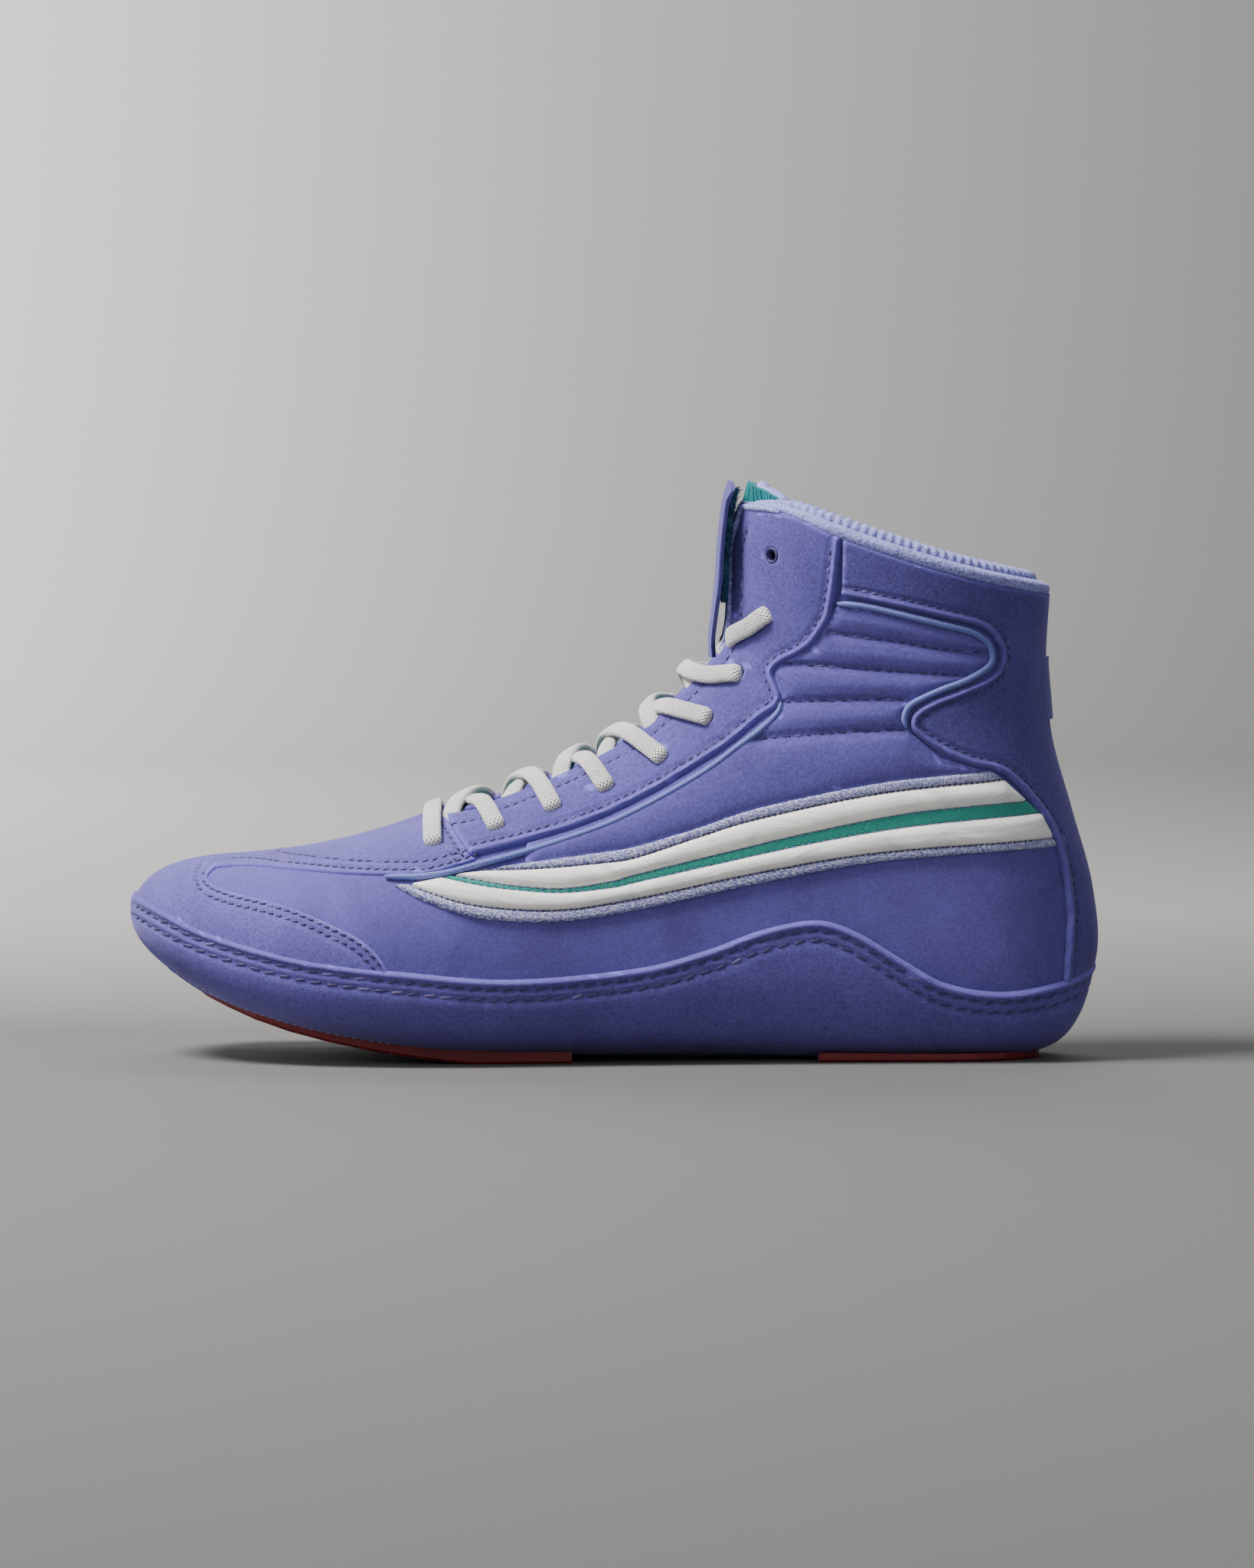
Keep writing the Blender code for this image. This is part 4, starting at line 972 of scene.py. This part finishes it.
def make_toe():
    front = between(RAND_TOP, -149.5, -66)
    outline = np.concatenate([above(front, -1.5), CAP_EDGE, VAMP_SEAM, [(-52, 95), (-150, 95)]])
    inner, outer = sidestep(CAP_EDGE, -1.3), sidestep(CAP_EDGE, -3.4)
    seam = sidestep(VAMP_SEAM, -2.0)

    def height(edge, gaps):
        return (rolled(edge, -0.7, 0.35, 1.2) - 0.4 * bump(gaps[0], 0.8)
                - 0.4 * bump(gaps[1], 0.8) - 0.35 * bump(gaps[2], 0.8))

    panel("toe_cap", outline, MAT["suede"], height, levels=(0.4, 1.0),
          lines=(inner, outer, seam), slot="suede", node=("toe_vamp", "toe_puff", "vamp_lining"))
    cap = CAP_EDGE[:, 0] < 0
    low = cap & (CAP_EDGE[:, 1] < 56.5) & (CAP_EDGE[:, 0] < -67)
    sew(inner[low], 0.1)
    sew(outer[low], 0.1)
    strip = (CAP_EDGE[:, 0] > -117) & ~low
    sew(inner[strip], 0.1)
    sew(outer[strip], 0.1, pitch=3.0)
    sew(seam, 0.1)
    sew(sidestep(VAMP_SEAM, -4.4), 0.25)


def make_eyestays():
    outline = np.concatenate([THROAT[4:], between(COLLAR_LINE, 38.5, 67), EYESTAY_REAR,
                              VAMP_SEAM])
    front_row = sidestep(THROAT, 3.0)
    rear_row = sidestep(EYESTAY_REAR, 2.7)

    def height(edge, gaps):
        rise = rolled(edge, -0.6, 0.75, 1.3)
        ridge = 0.75 * bump(gaps[1] - 1.2, 0.9)
        return rise + ridge - 0.45 * bump(gaps[0], 0.75) - 0.5 * bump(gaps[2], 0.75)

    for label, side in SIDES.items():
        panel(f"lace_stay_{label}", outline, MAT["suede_shaded"], height, side=side,
              levels=(0.4, 1.0, 1.8), lines=(front_row, EYESTAY_REAR, rear_row),
              holes=EYELETS, slot="suede", node=f"eyestay_{label}")
    sew(front_row[6:], 0.45)
    sew(rear_row[4:], 0.4)
    tubes("stay_piping", EYESTAY_PIPING, MAT["piping"], 0.95, 0.25, "piping",
          "eyestay_piping")


def make_ankle():
    rear = EYESTAY_REAR[(EYESTAY_REAR[:, 0] > -26) & (EYESTAY_REAR[:, 1] < 134)]
    border = between(STRIPE[5], -26, 110)
    outline = np.concatenate([sidestep(ANKLE_PIPING, 0.4), [(98, 91.4), (108, 88.6)],
                              border[::-1], rear[::-1]])

    def height(edge, gaps):
        seam = np.min(gaps, axis=0)
        puff = 1.7 * (1 - np.exp(-np.minimum(seam, edge + 0.6) / 2.6))
        return -0.55 + puff - 0.35 * bump(seam, 0.6)

    for label, side in SIDES.items():
        piece = panel(f"ankle_quilt_{label}", outline, MAT["quilt"], height, side=side,
                      levels=(0.5, 1.2), lines=QUILT, slot="quilt", node=f"ankle_panel_{label}")
    for line in QUILT:
        sew(line, -0.6, pitch=3.4, size=(2.3, 0.3), slant=4)
    tubes("heel_piping", ANKLE_PIPING, MAT["piping"], 0.95, 0.35, "piping", "ankle_piping")


def make_heel():
    top = between(COLLAR_LINE, 68.6, 150)
    end = between(RAND_TOP, 136, 149)
    outline = np.concatenate([[(68.4, 157)], top, above(end[::-1], -1.5), HEEL_EDGE[::-1]])
    row = sidestep(HEEL_EDGE, -2.8)

    def height(edge, gaps):
        return (rolled(edge, -0.6, 0.7, 1.3) + 0.7 * bump(gaps[0] - 1.3, 0.9)
                - 0.5 * bump(gaps[1], 0.75))

    # Painted shade: the heel wrap takes the darker shaded copy of the violet suede.
    panel("heel_wrap", outline, MAT["suede_heel_shaded"], height, levels=(0.4, 1.0, 1.8),
          lines=(HEEL_EDGE, row), slot="suede", node=("heel_panel", "heel_counter"))
    sew(row[3:-10], 0.3)


def make_stripe():
    pads = (("lower", 1, 2, 3.0), ("upper", 3, 4, 4.6))
    for label, side in SIDES.items():
        for name, low, high, half in pads:
            outline = np.concatenate([STRIPE[low], STRIPE[high][::-1]])
            piece = panel(f"white_pad_{name}_{label}", outline, MAT["leather"],
                          lambda edge, gaps, half=half: -0.5 + 2.1 * np.sqrt(np.maximum(
                              0, 1 - (1 - np.clip(edge / half, 0, 1)) ** 2.2)),
                          side=side, levels=(0.3, 0.8, 1.6, 2.6), slot="stripe_leather",
                          node=f"stripe_pad_{name}_{label}")
        panel(f"teal_line_{label}", np.concatenate([STRIPE[2], STRIPE[3][::-1]]),
              MAT["inlay"], lambda edge, gaps: rolled(edge, -0.4, 0.2, 0.8), side=side,
              levels=(0.3, 0.7), slot="inlay", node=f"stripe_inlay_{label}")
        for name, low, high in (("lower", 0, 1), ("upper", 4, 5)):
            panel(f"satin_edge_{name}_{label}",
                  np.concatenate([STRIPE[low], STRIPE[high][::-1]]), MAT["satin"],
                  lambda edge, gaps: rolled(edge, -0.5, 0.75, 1.2), side=side,
                  levels=(0.4, 0.9), slot="satin",
                  node=f"stripe_border_{name}_{label}")
    for line in (STRIPE[1], STRIPE[4]):
        sew(between(line, -58, 126), 0.15, pitch=1.7, size=(1.5, 0.26), slant=58)
    for line in (STRIPE[2], STRIPE[3]):
        sew(between(line, -46, 122), 0.05, pitch=2.4, size=(1.5, 0.2), slant=8,
            colours="light")


# ---------------------------------------------------------------- sole and inside
def recolour(*nodes, finish):
    for name in nodes:
        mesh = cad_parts[name].data
        mesh.materials.clear()
        mesh.materials.append(finish)


PLATE_THICK = 2.6
FOOTBED_THICK = 3.0
LINING_DEPTH = -4.6
RIB_PITCH = 2.6        # the lining's and the collar's ribs
RIM_INSET = 3.1        # the ribbed inner rim, in from the collar


def sole_reach(at):
    """The half width of a section as a share of the way round to the throat."""
    return np.interp(at, SKIN.at, SKIN.width / SKIN.half_length)


def make_sole():
    recolour("outsole_forefoot", "outsole_heel", finish=MAT["red"])
    recolour("insole_board", finish=MAT["board"])
    low = between(above(SOLE_LINE, -0.2), -141, 149)
    outline = np.concatenate([between(above(SOLE_LINE, 4.6), -143, 149), low[::-1]])
    panel("sole_edge", outline, MAT["suede_shaded"],
          lambda edge, gaps: rolled(edge, -1.0, 0.35, 1.0) - 0.3, levels=(0.4, 1.0),
          slot="midsole")
    stations = np.linspace(0.35, 14.3, 70)
    steps = 25
    spread = np.sin(np.linspace(-math.pi / 2, math.pi / 2, steps)) * 0.84
    rows = [SKIN.place(np.full(steps, at), spread * sole_reach(at), 0.12) for at in stations]
    under = np.array(rows)
    piece = add_mesh("sole_plate", *slab(under, under + (0, 0, PLATE_THICK)), MAT["suede_shaded"],
                     slot="midsole")
    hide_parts("midsole")


def make_footbed():
    """The padded footbed inside, crowned at its edge."""
    stations = np.linspace(1.6, 14.2, 60)
    steps = 25
    across = np.linspace(-1, 1, steps)
    top = []
    for at in stations:
        row = SKIN.place(np.full(steps, at), across * 0.8 * sole_reach(at), -7.0)
        lift = 3.6 - 1.4 * np.abs(across) ** 6 + 1.3 * np.abs(across) ** 4
        row[:, 2] = row[:, 2].min() * 0.4 + row[:, 2] * 0.6 + lift
        row[:, 1] = row[:, 1].mean() + (row[:, 1] - row[:, 1].mean()) * 0.97
        top.append(row)
    top = np.array(top)
    piece = add_mesh("padded_footbed", *slab(top, top - (0, 0, FOOTBED_THICK), flip=True),
                     MAT["footbed"], slot="footbed")
    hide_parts("footbed")


def make_lining():
    """The ribbed lining: the inner face of the upper, from sole to collar and throat."""
    outline = np.concatenate([between(above(SOLE_LINE, 5.0), -60, 150),
                              between(above(COLLAR_LINE, 1.2), 42, 150)[::-1],
                              sidestep(THROAT, 2.5)[::-1], [(-60, 60)]])
    for label, side in SIDES.items():
        held = inside(outline, FLAT_POINTS[:, 0], FLAT_POINTS[:, 2]) & (FLAT_V * side >= 0)
        quads = np.roll(GRID_QUADS[held[GRID_QUADS].all(axis=1)], -1, axis=1)
        used, index = np.unique(quads, return_inverse=True)
        ribs = 0.2 * np.cos(ALONG_MM[used] * 2 * math.pi / RIB_PITCH)
        points = FLAT_POINTS[used] + FLAT_NORMALS[used] * (LINING_DEPTH + ribs)[:, None]
        flow = np.stack([ALONG_MM[used], ACROSS[used]], axis=1)
        add_mesh(f"ribbed_lining_{label}", points, index.reshape(-1, 4), MAT["rib"],
                 slot="lining", uv=flow)


def make_collar():
    """The padded knit collar: a roll over the top edge, ribbed on its inner face."""
    count, girth = 560, 20
    reach = np.linspace(-0.93, 0.93, count)
    place = SKIN.place(np.full(count, LAST), reach, -2.9)
    facing = SKIN.read(SKIN.normals, np.full(count, LAST), reach)
    order = np.argsort(COLLAR_LINE[:, 0])
    place[:, 2] = np.interp(place[:, 0], COLLAR_LINE[order, 0], COLLAR_LINE[order, 1])
    near = np.clip((place[:, 0] - 39.0) / 30.0, 0, 1)
    scale = 0.4 + 0.6 * near**2 * (3 - 2 * near)
    place[:, 2] += 1.0 * scale + 0.4
    up = np.tile(np.array([0.27, 0.0, 0.96]), (count, 1))
    points, faces, uv = sweep(place, up, oval(3.6, 2.2, girth, 0.85), scale)
    length = uv.reshape(count, girth, 2)[:, 0, 0]
    rings = points.reshape(count, girth, 3)
    away = rings - place[:, None]
    inner = np.clip(-(away * facing[:, None]).sum(axis=2) / 2.2, 0, 1)
    ribs = 0.10 * np.cos(length * 2 * math.pi / RIB_PITCH)
    rings += away * (inner * ribs[:, None])[..., None]
    piece = add_mesh("padded_collar", rings.reshape(-1, 3), faces, MAT["knit"],
                     slot="collar_knit", uv=uv)
    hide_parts("collar")
    rim = (place - SKIN.outward(np.full(count, LAST), reach) * RIM_INSET
           + np.outer(2.5 * scale, (0, 0, 1)))
    points, faces, uv = sweep(rim, up, oval(2.4, 2.3, girth), scale)
    rings = points.reshape(count, girth, 3)
    wave = 0.11 * np.cos(uv.reshape(count, girth, 2)[:, 0, 0] * 2 * math.pi / 2.7)
    rings += (rings - rim[:, None]) * wave[:, None, None]
    add_mesh("ribbed_inner_rim", rings.reshape(-1, 3), faces, MAT["knit"], slot="lining", uv=uv)
    edge = sidestep(THROAT[THROAT[:, 1] > 122], -0.3)
    edge = np.concatenate([edge, between(COLLAR_LINE, 39.2, 50)])
    for label, side in SIDES.items():
        path, normal = skin_path(edge, side, 0.1)
        made = sweep(path, normal, oval(1.15, 1.5, 12), taper(len(path), 14, 0.3))
        add_swept(f"throat_binding_{label}", made, MAT["knit"], slot="collar_knit")


# ---------------------------------------------------------------- tongue and flap
# The tongue's wings in plan: centre, half length and half width of an ellipse.
TONGUE_PLAN = (84.0, 43.4, 29.6)
TONGUE_REACH = 29.0    # half width of the tongue below the throat's top
TONGUE_STEPS = 61      # points across the tongue


def tongue_row(z, front, half):
    """Plan points of the tongue at a height above the throat, centre to wings."""
    centre, long, wide = TONGUE_PLAN
    y = np.linspace(-1, 1, TONGUE_STEPS) * half
    wing = centre - long * np.sqrt(1 - (y / wide) ** 2)
    blend = np.clip((np.abs(y) - 8.0) / 4.0, 0, 1)
    x = front + (wing - front) * blend**2 * (3 - 2 * blend)
    return np.stack([x, y, np.full(TONGUE_STEPS, z)], axis=1)


def make_tongue():
    """One knit tongue from the vamp to its rolled top: fixed below, tipping back above."""
    lower = []
    middle = TONGUE_STEPS // 2
    across = np.linspace(-1, 1, TONGUE_STEPS)
    for at in np.linspace(8.35, 13.3, 46):
        half = np.interp(at, SKIN.at, SKIN.half_length)
        v = 1 - across * TONGUE_REACH / half
        ridge = np.exp(-(across * TONGUE_REACH / 9.0) ** 4) * np.clip((13.2 - at) / 1.2, 0, 1)
        lower.append(SKIN.place(np.full(TONGUE_STEPS, at), v, 2.6 * ridge - 6.3))
    upper = [tongue_row(z, front, half) for z, front, half in smooth(
        [(140.5, 36.9, 23.5), (147, 37.0, 23.5), (155, 37.4, 22.6), (163, 38.6, 20.6),
         (173.6, 41.4, 18.4)], 1.1)]
    for row in upper:
        near_top = np.clip((row[middle, 2] - 160) / 13.6, 0, 1)
        row[:, 2] -= 5.4 * (row[:, 1] / 18.4) ** 2 * near_top
    grid = np.array(lower + upper)
    normal = forward_normals(grid)
    wide = np.linalg.norm(np.diff(grid, axis=1), axis=2).mean(axis=0)
    width = np.concatenate([[0], np.cumsum(wide)])
    ribs = 0.3 * np.cos(width * 2 * math.pi / 2.1)[None, :, None]
    taper_edge = np.clip(1 - np.abs(across) ** 8, 0.15, 1)[None, :, None]
    outer = grid + normal * (ribs + 0.2)
    inner = grid - normal * 3.4 * taper_edge
    flow = flow_grid(run_length(grid[:, middle]), width)
    piece = add_mesh("knit_tongue", *slab(outer, inner), MAT["tongue"], body=None,
                     slot="tongue_knit", uv=np.concatenate([flow, flow]))
    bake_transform(piece)
    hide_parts("tongue", "tongue_top")
    top = (grid[-1] + (grid[-1] - normal[-1] * 2.4)) / 2
    count = 50
    path = resample(top, np.arange(TONGUE_STEPS), np.linspace(2, 58, count)) + (2.6, 0, -1.9)
    made = sweep(path, np.tile([0.0, 0, 1], (count, 1)), oval(2.3, 2.2, 18),
                 taper(count, 6, 0.55))
    roll = add_swept("tongue_top_roll", made, MAT["knit"], body="tongue_tip",
                     slot="collar_knit")
    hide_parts("tongue_roll")
    recolour("tongue_loop_patch", finish=MAT["hook"])


def flap_half_width(z):
    return 7.5 + 13.5 * np.clip((z - 124.0) / 15.0, 0, 1) ** 0.8


def make_flap():
    """The flap over the laces: a suede sheet sewn at its foot, with fuzzy tape behind."""
    line = smooth([(29.1, 120.6), (28.9, 126.5), (29.7, 133.9), (30.8, 143.3), (31.5, 154),
                   (32.9, 166.5), (34.9, 173.9)], 1.0)
    across = np.linspace(-1, 1, 41)
    rows = []
    for x, z in line:
        half = float(flap_half_width(z))
        near_top = max(0.0, (z - 168.0) / 5.9)
        y = across * half
        cup = FLAP_CUP * across**2
        drop = 3.2 * near_top * np.abs(across) ** 5
        rows.append(np.stack([x + cup, y, z - drop], axis=1))
    grid = np.array(rows)
    edge = np.minimum(1, (1 - np.abs(across)) * 12)[None, :, None]
    back = grid - forward_normals(grid) * (0.45 + 1.0 * edge)
    piece = add_mesh("suede_flap", *slab(grid, back), MAT["suede_shaded"], body=None, slot="suede")
    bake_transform(piece)
    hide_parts("lace_flap", "flap_root")


FUZZ = 1500            # loops of fibre on the tape
FLAP_CUP = 0.9         # how far the flap's edges curve back


def make_hook_tape():
    """The fuzzy tape behind the flap: a lumpy sheet with loops of fibre on it."""
    rng = np.random.default_rng(11)
    rows, cols = 46, 36
    level = np.linspace(0, 1, rows)[:, None] * np.ones((1, cols))
    y = (np.linspace(-1, 1, cols)[None, :] * np.ones((rows, 1))) * 15.6
    z = 139.5 + level * 32.0
    z[0] += rng.uniform(-2.4, 1.2, cols)
    profile = np.array([(30.9, 136), (31.0, 143.3), (31.7, 154), (33.0, 165.5), (34.4, 172.5)])
    x = np.interp(z, profile[:, 1], profile[:, 0]) + 1.5 + FLAP_CUP * (y / 21.0) ** 2
    lump = rng.normal(0, 0.22, z.shape)
    front = np.stack([x, y, z], -1)
    back = np.stack([x + 1.7 + lump, y, z], -1)
    count = rows * cols
    index = np.arange(count).reshape(rows, cols)
    quads = np.stack([index[:-1, :-1], index[1:, :-1], index[1:, 1:], index[:-1, 1:]], -1)
    quads = quads.reshape(-1, 4)
    rim, nxt = rim_loop(index)
    walls = np.stack([rim, nxt, nxt + count, rim + count], axis=1)
    faces = np.concatenate([quads[:, ::-1], quads + count, walls]).tolist()
    points = np.concatenate([back.reshape(-1, 3), front.reshape(-1, 3)])
    patch = add_mesh("fuzzy_hook_tape", points, faces, MAT["hook"], body="flap",
                     slot="hook_and_loop", sharp=80)
    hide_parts("flap_hook_patch")
    loops = []
    for _ in range(FUZZ):
        at = np.array([rng.uniform(-15.4, 15.4), rng.uniform(138.5, 171.6)])
        base = np.array([np.interp(at[1], profile[:, 1], profile[:, 0]) + 3.2
                         + FLAP_CUP * (at[0] / 21) ** 2, at[0], at[1]])
        lean = rng.normal(0, 0.55, 3) + (0.75, 0, 0)
        tip = base + lean * rng.uniform(0.7, 1.5)
        turn = rng.normal(0, 0.09, 3)
        loops.append((np.array([base, base + turn + (0, 0.12, 0), tip, base - turn]),
                      [[0, 1, 2], [0, 2, 3], [1, 3, 2], [0, 3, 1]], np.zeros((4, 2))))
    add_mesh("hook_fuzz", *joined(loops)[:2], MAT["hook"], body="flap", slot="hook_and_loop",
             sharp=180)


# ---------------------------------------------------------------- lace
LACE_WIDE, LACE_THICK = 5.7, 2.7
# How soon each upper strand runs down the stay before it crosses, eyelet by eyelet.
LACE_HASTE = (1.0, 1.0, 1.0, 1.2, 2.0, 4.0, 8.0, 1.0)
# The share of the top strands' way between which they pass under the flap's foot.
UNDER_FROM, UNDER_TO = 0.27, 0.76
TOP_EYELET = 7         # the highest eyelet that is laced


def ribbon(points, facing, wide, thick):
    """A flat tape along a smooth path."""
    path = smooth(points, 0.55)
    spread = np.linspace(0, 1, len(path))
    known = np.linspace(0, 1, len(facing))
    up = resample(facing, known, spread)
    return sweep(path, up, oval(wide / 2, thick / 2, 16, 0.78), taper(len(path), 5, 0.5))


def make_lace():
    """The flat lace: over the edge of one stay, down across the tongue, under the next."""
    holes = {}
    for number, place in enumerate(EYELETS[:TOP_EYELET + 1]):
        at, v, _ = SKIN.locate([place], 1)
        holes[number] = (float(at[0]), float(v[0]))
    parts = []

    def lay(stations):
        points, ups = [], []
        for at, v, rise in stations:
            points.append(SKIN.place(at, v, rise)[0])
            ups.append(SKIN.outward(at, v)[0])
        for end, step in ((0, 1), (-1, -2)):
            if stations[end][2] > 0:
                away = points[end] - points[step]
                away *= 2.8 / np.linalg.norm(away)
                over = points[end] + away - ups[end] * 0.4
                under = points[end] + away * 1.2 - ups[end] * 2.6
                extra = [under, over] if end == 0 else [over, under]
                points = extra + points if end == 0 else points + extra
                ups = [ups[end]] * 2 + ups if end == 0 else ups + [ups[end]] * 2
        parts.append(ribbon(points, ups, LACE_WIDE, LACE_THICK))

    def strand(low, high, side, lift):
        """From the upper eyelet on one side down to the lower one on the other side."""
        at0, v0 = holes[high]
        at1, v1 = holes[low]
        haste = LACE_HASTE[high]
        behind = high == TOP_EYELET
        stations = []
        for share, rise in ((0.03, 1.7), (0.1, 2.0), (0.2, 1.9 + lift * 0.3),
                            (0.34, 0.5 + lift * 0.8), (0.5, -0.3 + lift), (0.64, -0.5 + lift * 0.8),
                            (0.76, -1.2 + lift * 0.3), (0.87, -2.8), (0.96, -3.2), (1.0, -2.6)):
            done = 1 - (1 - share) ** haste
            if behind:
                done = min(1.0, share / UNDER_FROM)
            if behind and UNDER_FROM < share < UNDER_TO:
                rise = -2.8 - 1.2 * (side < 0)
            stations.append((at0 + (at1 - at0) * done, (v0 + (2 - v1 - v0) * share) * side,
                             rise))
        lay(stations)

    for low in range(TOP_EYELET):
        for side in (-1, 1):
            strand(low, low + 1, side, 2.2 if side * (-1) ** low > 0 else 0.0)
    at, v = holes[0]
    lay([(at - 0.03, v + (2 - 2 * v) * share, rise)
         for share, rise in ((0.03, 1.6), (0.14, 2.1), (0.3, 2.0), (0.5, 1.9),
                             (0.7, 2.0), (0.86, 2.1), (0.97, 1.6))])
    piece = add_swept("flat_lace", joined(parts), MAT["lace"], slot="lace")
    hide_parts("lace")


# ---------------------------------------------------------------- small things
def make_badge():
    recolour("heel_badge", finish=MAT["badge"])


def make_eyelets():
    """Punched eyelets with a thread-bound rim."""
    parts = []
    for place in EYELETS[TOP_EYELET + 1:]:
        for side in (-1, 1):
            at, v, _ = SKIN.locate([place], 1)
            centre = SKIN.place(at, v * side, 0.45)[0]
            normal = SKIN.outward(at, v * side)[0]
            first = np.cross(normal, (0, 0, 1.0))
            first /= np.linalg.norm(first)
            second = np.cross(normal, first)
            angle = np.linspace(0, 2 * math.pi, 29)[:, None]
            path = centre + 2.0 * (first * np.cos(angle) + second * np.sin(angle))
            parts.append(sweep(path, np.tile(normal, (29, 1)), oval(0.42, 0.36, 8)))
    add_swept("eyelet_rims", joined(parts), MAT["dark"], slot="suede")


def make_stitches():
    for colour, parts in STITCHES.items():
        if parts:
            add_mesh(f"stitches_{colour}", *joined(parts)[:2], MAT[colour], slot="suede")


# ---------------------------------------------------------------- studio
def area(name, place, aim, size, energy, colour=(1, 1, 1)):
    light = bpy.data.lights.new(name, "AREA")
    light.shape = "RECTANGLE"
    light.size, light.size_y = size
    light.energy = energy
    light.color = colour
    lamp = bpy.data.objects.new(name, light)
    lamp.location = place
    lamp.rotation_euler = (Vector(aim) - Vector(place)).to_track_quat("-Z", "Y").to_euler()
    bpy.context.scene.collection.objects.link(lamp)


def make_studio():
    scene = bpy.context.scene
    world = bpy.data.worlds.new("studio")
    world.use_nodes = True
    world.node_tree.nodes["Background"].inputs["Color"].default_value = (0.80, 0.82, 0.86, 1)
    world.node_tree.nodes["Background"].inputs["Strength"].default_value = 0.3
    scene.world = world
    area("key", (-0.7, -0.3, 1.3), (-0.02, 0, 0.07), (0.5, 0.5), 52.0, (1.0, 0.985, 0.96))
    area("front", (-1.6, -0.8, 0.55), (0, 0, 0.08), (0.5, 0.7), 11.0, (1.0, 0.99, 0.97))
    area("fill", (0.7, -1.5, 0.8), (0, 0, 0.08), (0.9, 0.9), 6.0, (0.97, 0.97, 1.0))
    area("rim", (0.2, 0.9, 1.0), (0, 0, 0.1), (1.0, 0.5), 6.0)
    area("backdrop", (-1.5, 1.3, 0.9), (-0.9, 3.0, 0.5), (0.9, 0.9), 95.0)
    finish = Finish("pale_floor_painted_falloff", 0.75, specular=0.2)
    place = finish.node("ShaderNodeSeparateXYZ")
    finish.link(finish.node("ShaderNodeNewGeometry").outputs["Position"], place.inputs[0])
    aside = finish.math("MULTIPLY_ADD", place.outputs[0], 0.6)
    aside.node.inputs[2].default_value = 0.5
    # Painted light: the wall and the ground are lighter on the left and darker on the right, as
    # light falling off from the left. The ground is painted darker than the wall as painted shade.
    wall_painted_falloff = finish.ramp(aside, (0.1, tone(206, 206, 203)), (0.5, tone(160, 159, 158)),
                       (0.9, tone(128, 128, 128)))
    ground_painted_shade = finish.ramp(aside, (0.1, tone(110, 109, 107)), (0.5, tone(98, 98, 96)),
                         (0.9, tone(90, 90, 89)))
    finish.colour(finish.mix(finish.ramp(place.outputs[1], (0.1, 0.0), (0.7, 1.0)), ground_painted_shade, wall_painted_falloff))
    turn = np.radians(np.linspace(0, 90, 25))
    profile = [(-20.0, 0.0), *zip(2.1 + 1.0 * np.sin(turn), 1.0 - 1.0 * np.cos(turn)), (3.1, 4.0)]
    points = [(x * 1000, y * 1000, z * 1000) for y, z in profile for x in (-20.0, 20.0)]
    faces = [[2 * k, 2 * k + 1, 2 * k + 3, 2 * k + 2] for k in range(len(profile) - 1)]
    floor = add_mesh("floor", points, faces, finish.material, body=None, sharp=180)
    camera = bpy.data.objects.new("camera", bpy.data.cameras.new("camera"))
    scene.collection.objects.link(camera)
    reach, lift = 2.4, math.radians(2.6)
    seen = 0.4733      # metres across the picture at the boot
    target = Vector((0.0045, 0.0, 0.0822))
    camera.location = target + Vector((0, -reach * math.cos(lift), reach * math.sin(lift)))
    camera.rotation_euler = (target - camera.location).to_track_quat("-Z", "Y").to_euler()
    camera.data.sensor_width = 36.0
    camera.data.lens = camera.data.sensor_width * reach / seen
    camera.data.clip_start = 0.05
    scene.camera = camera


make_studio()
make_base()
make_rand()
make_toe()
make_eyestays()
make_ankle()
make_heel()
make_stripe()
make_sole()
make_footbed()
make_lining()
make_collar()
make_tongue()
make_flap()
make_hook_tape()
make_lace()
make_badge()
make_eyelets()
make_stitches()
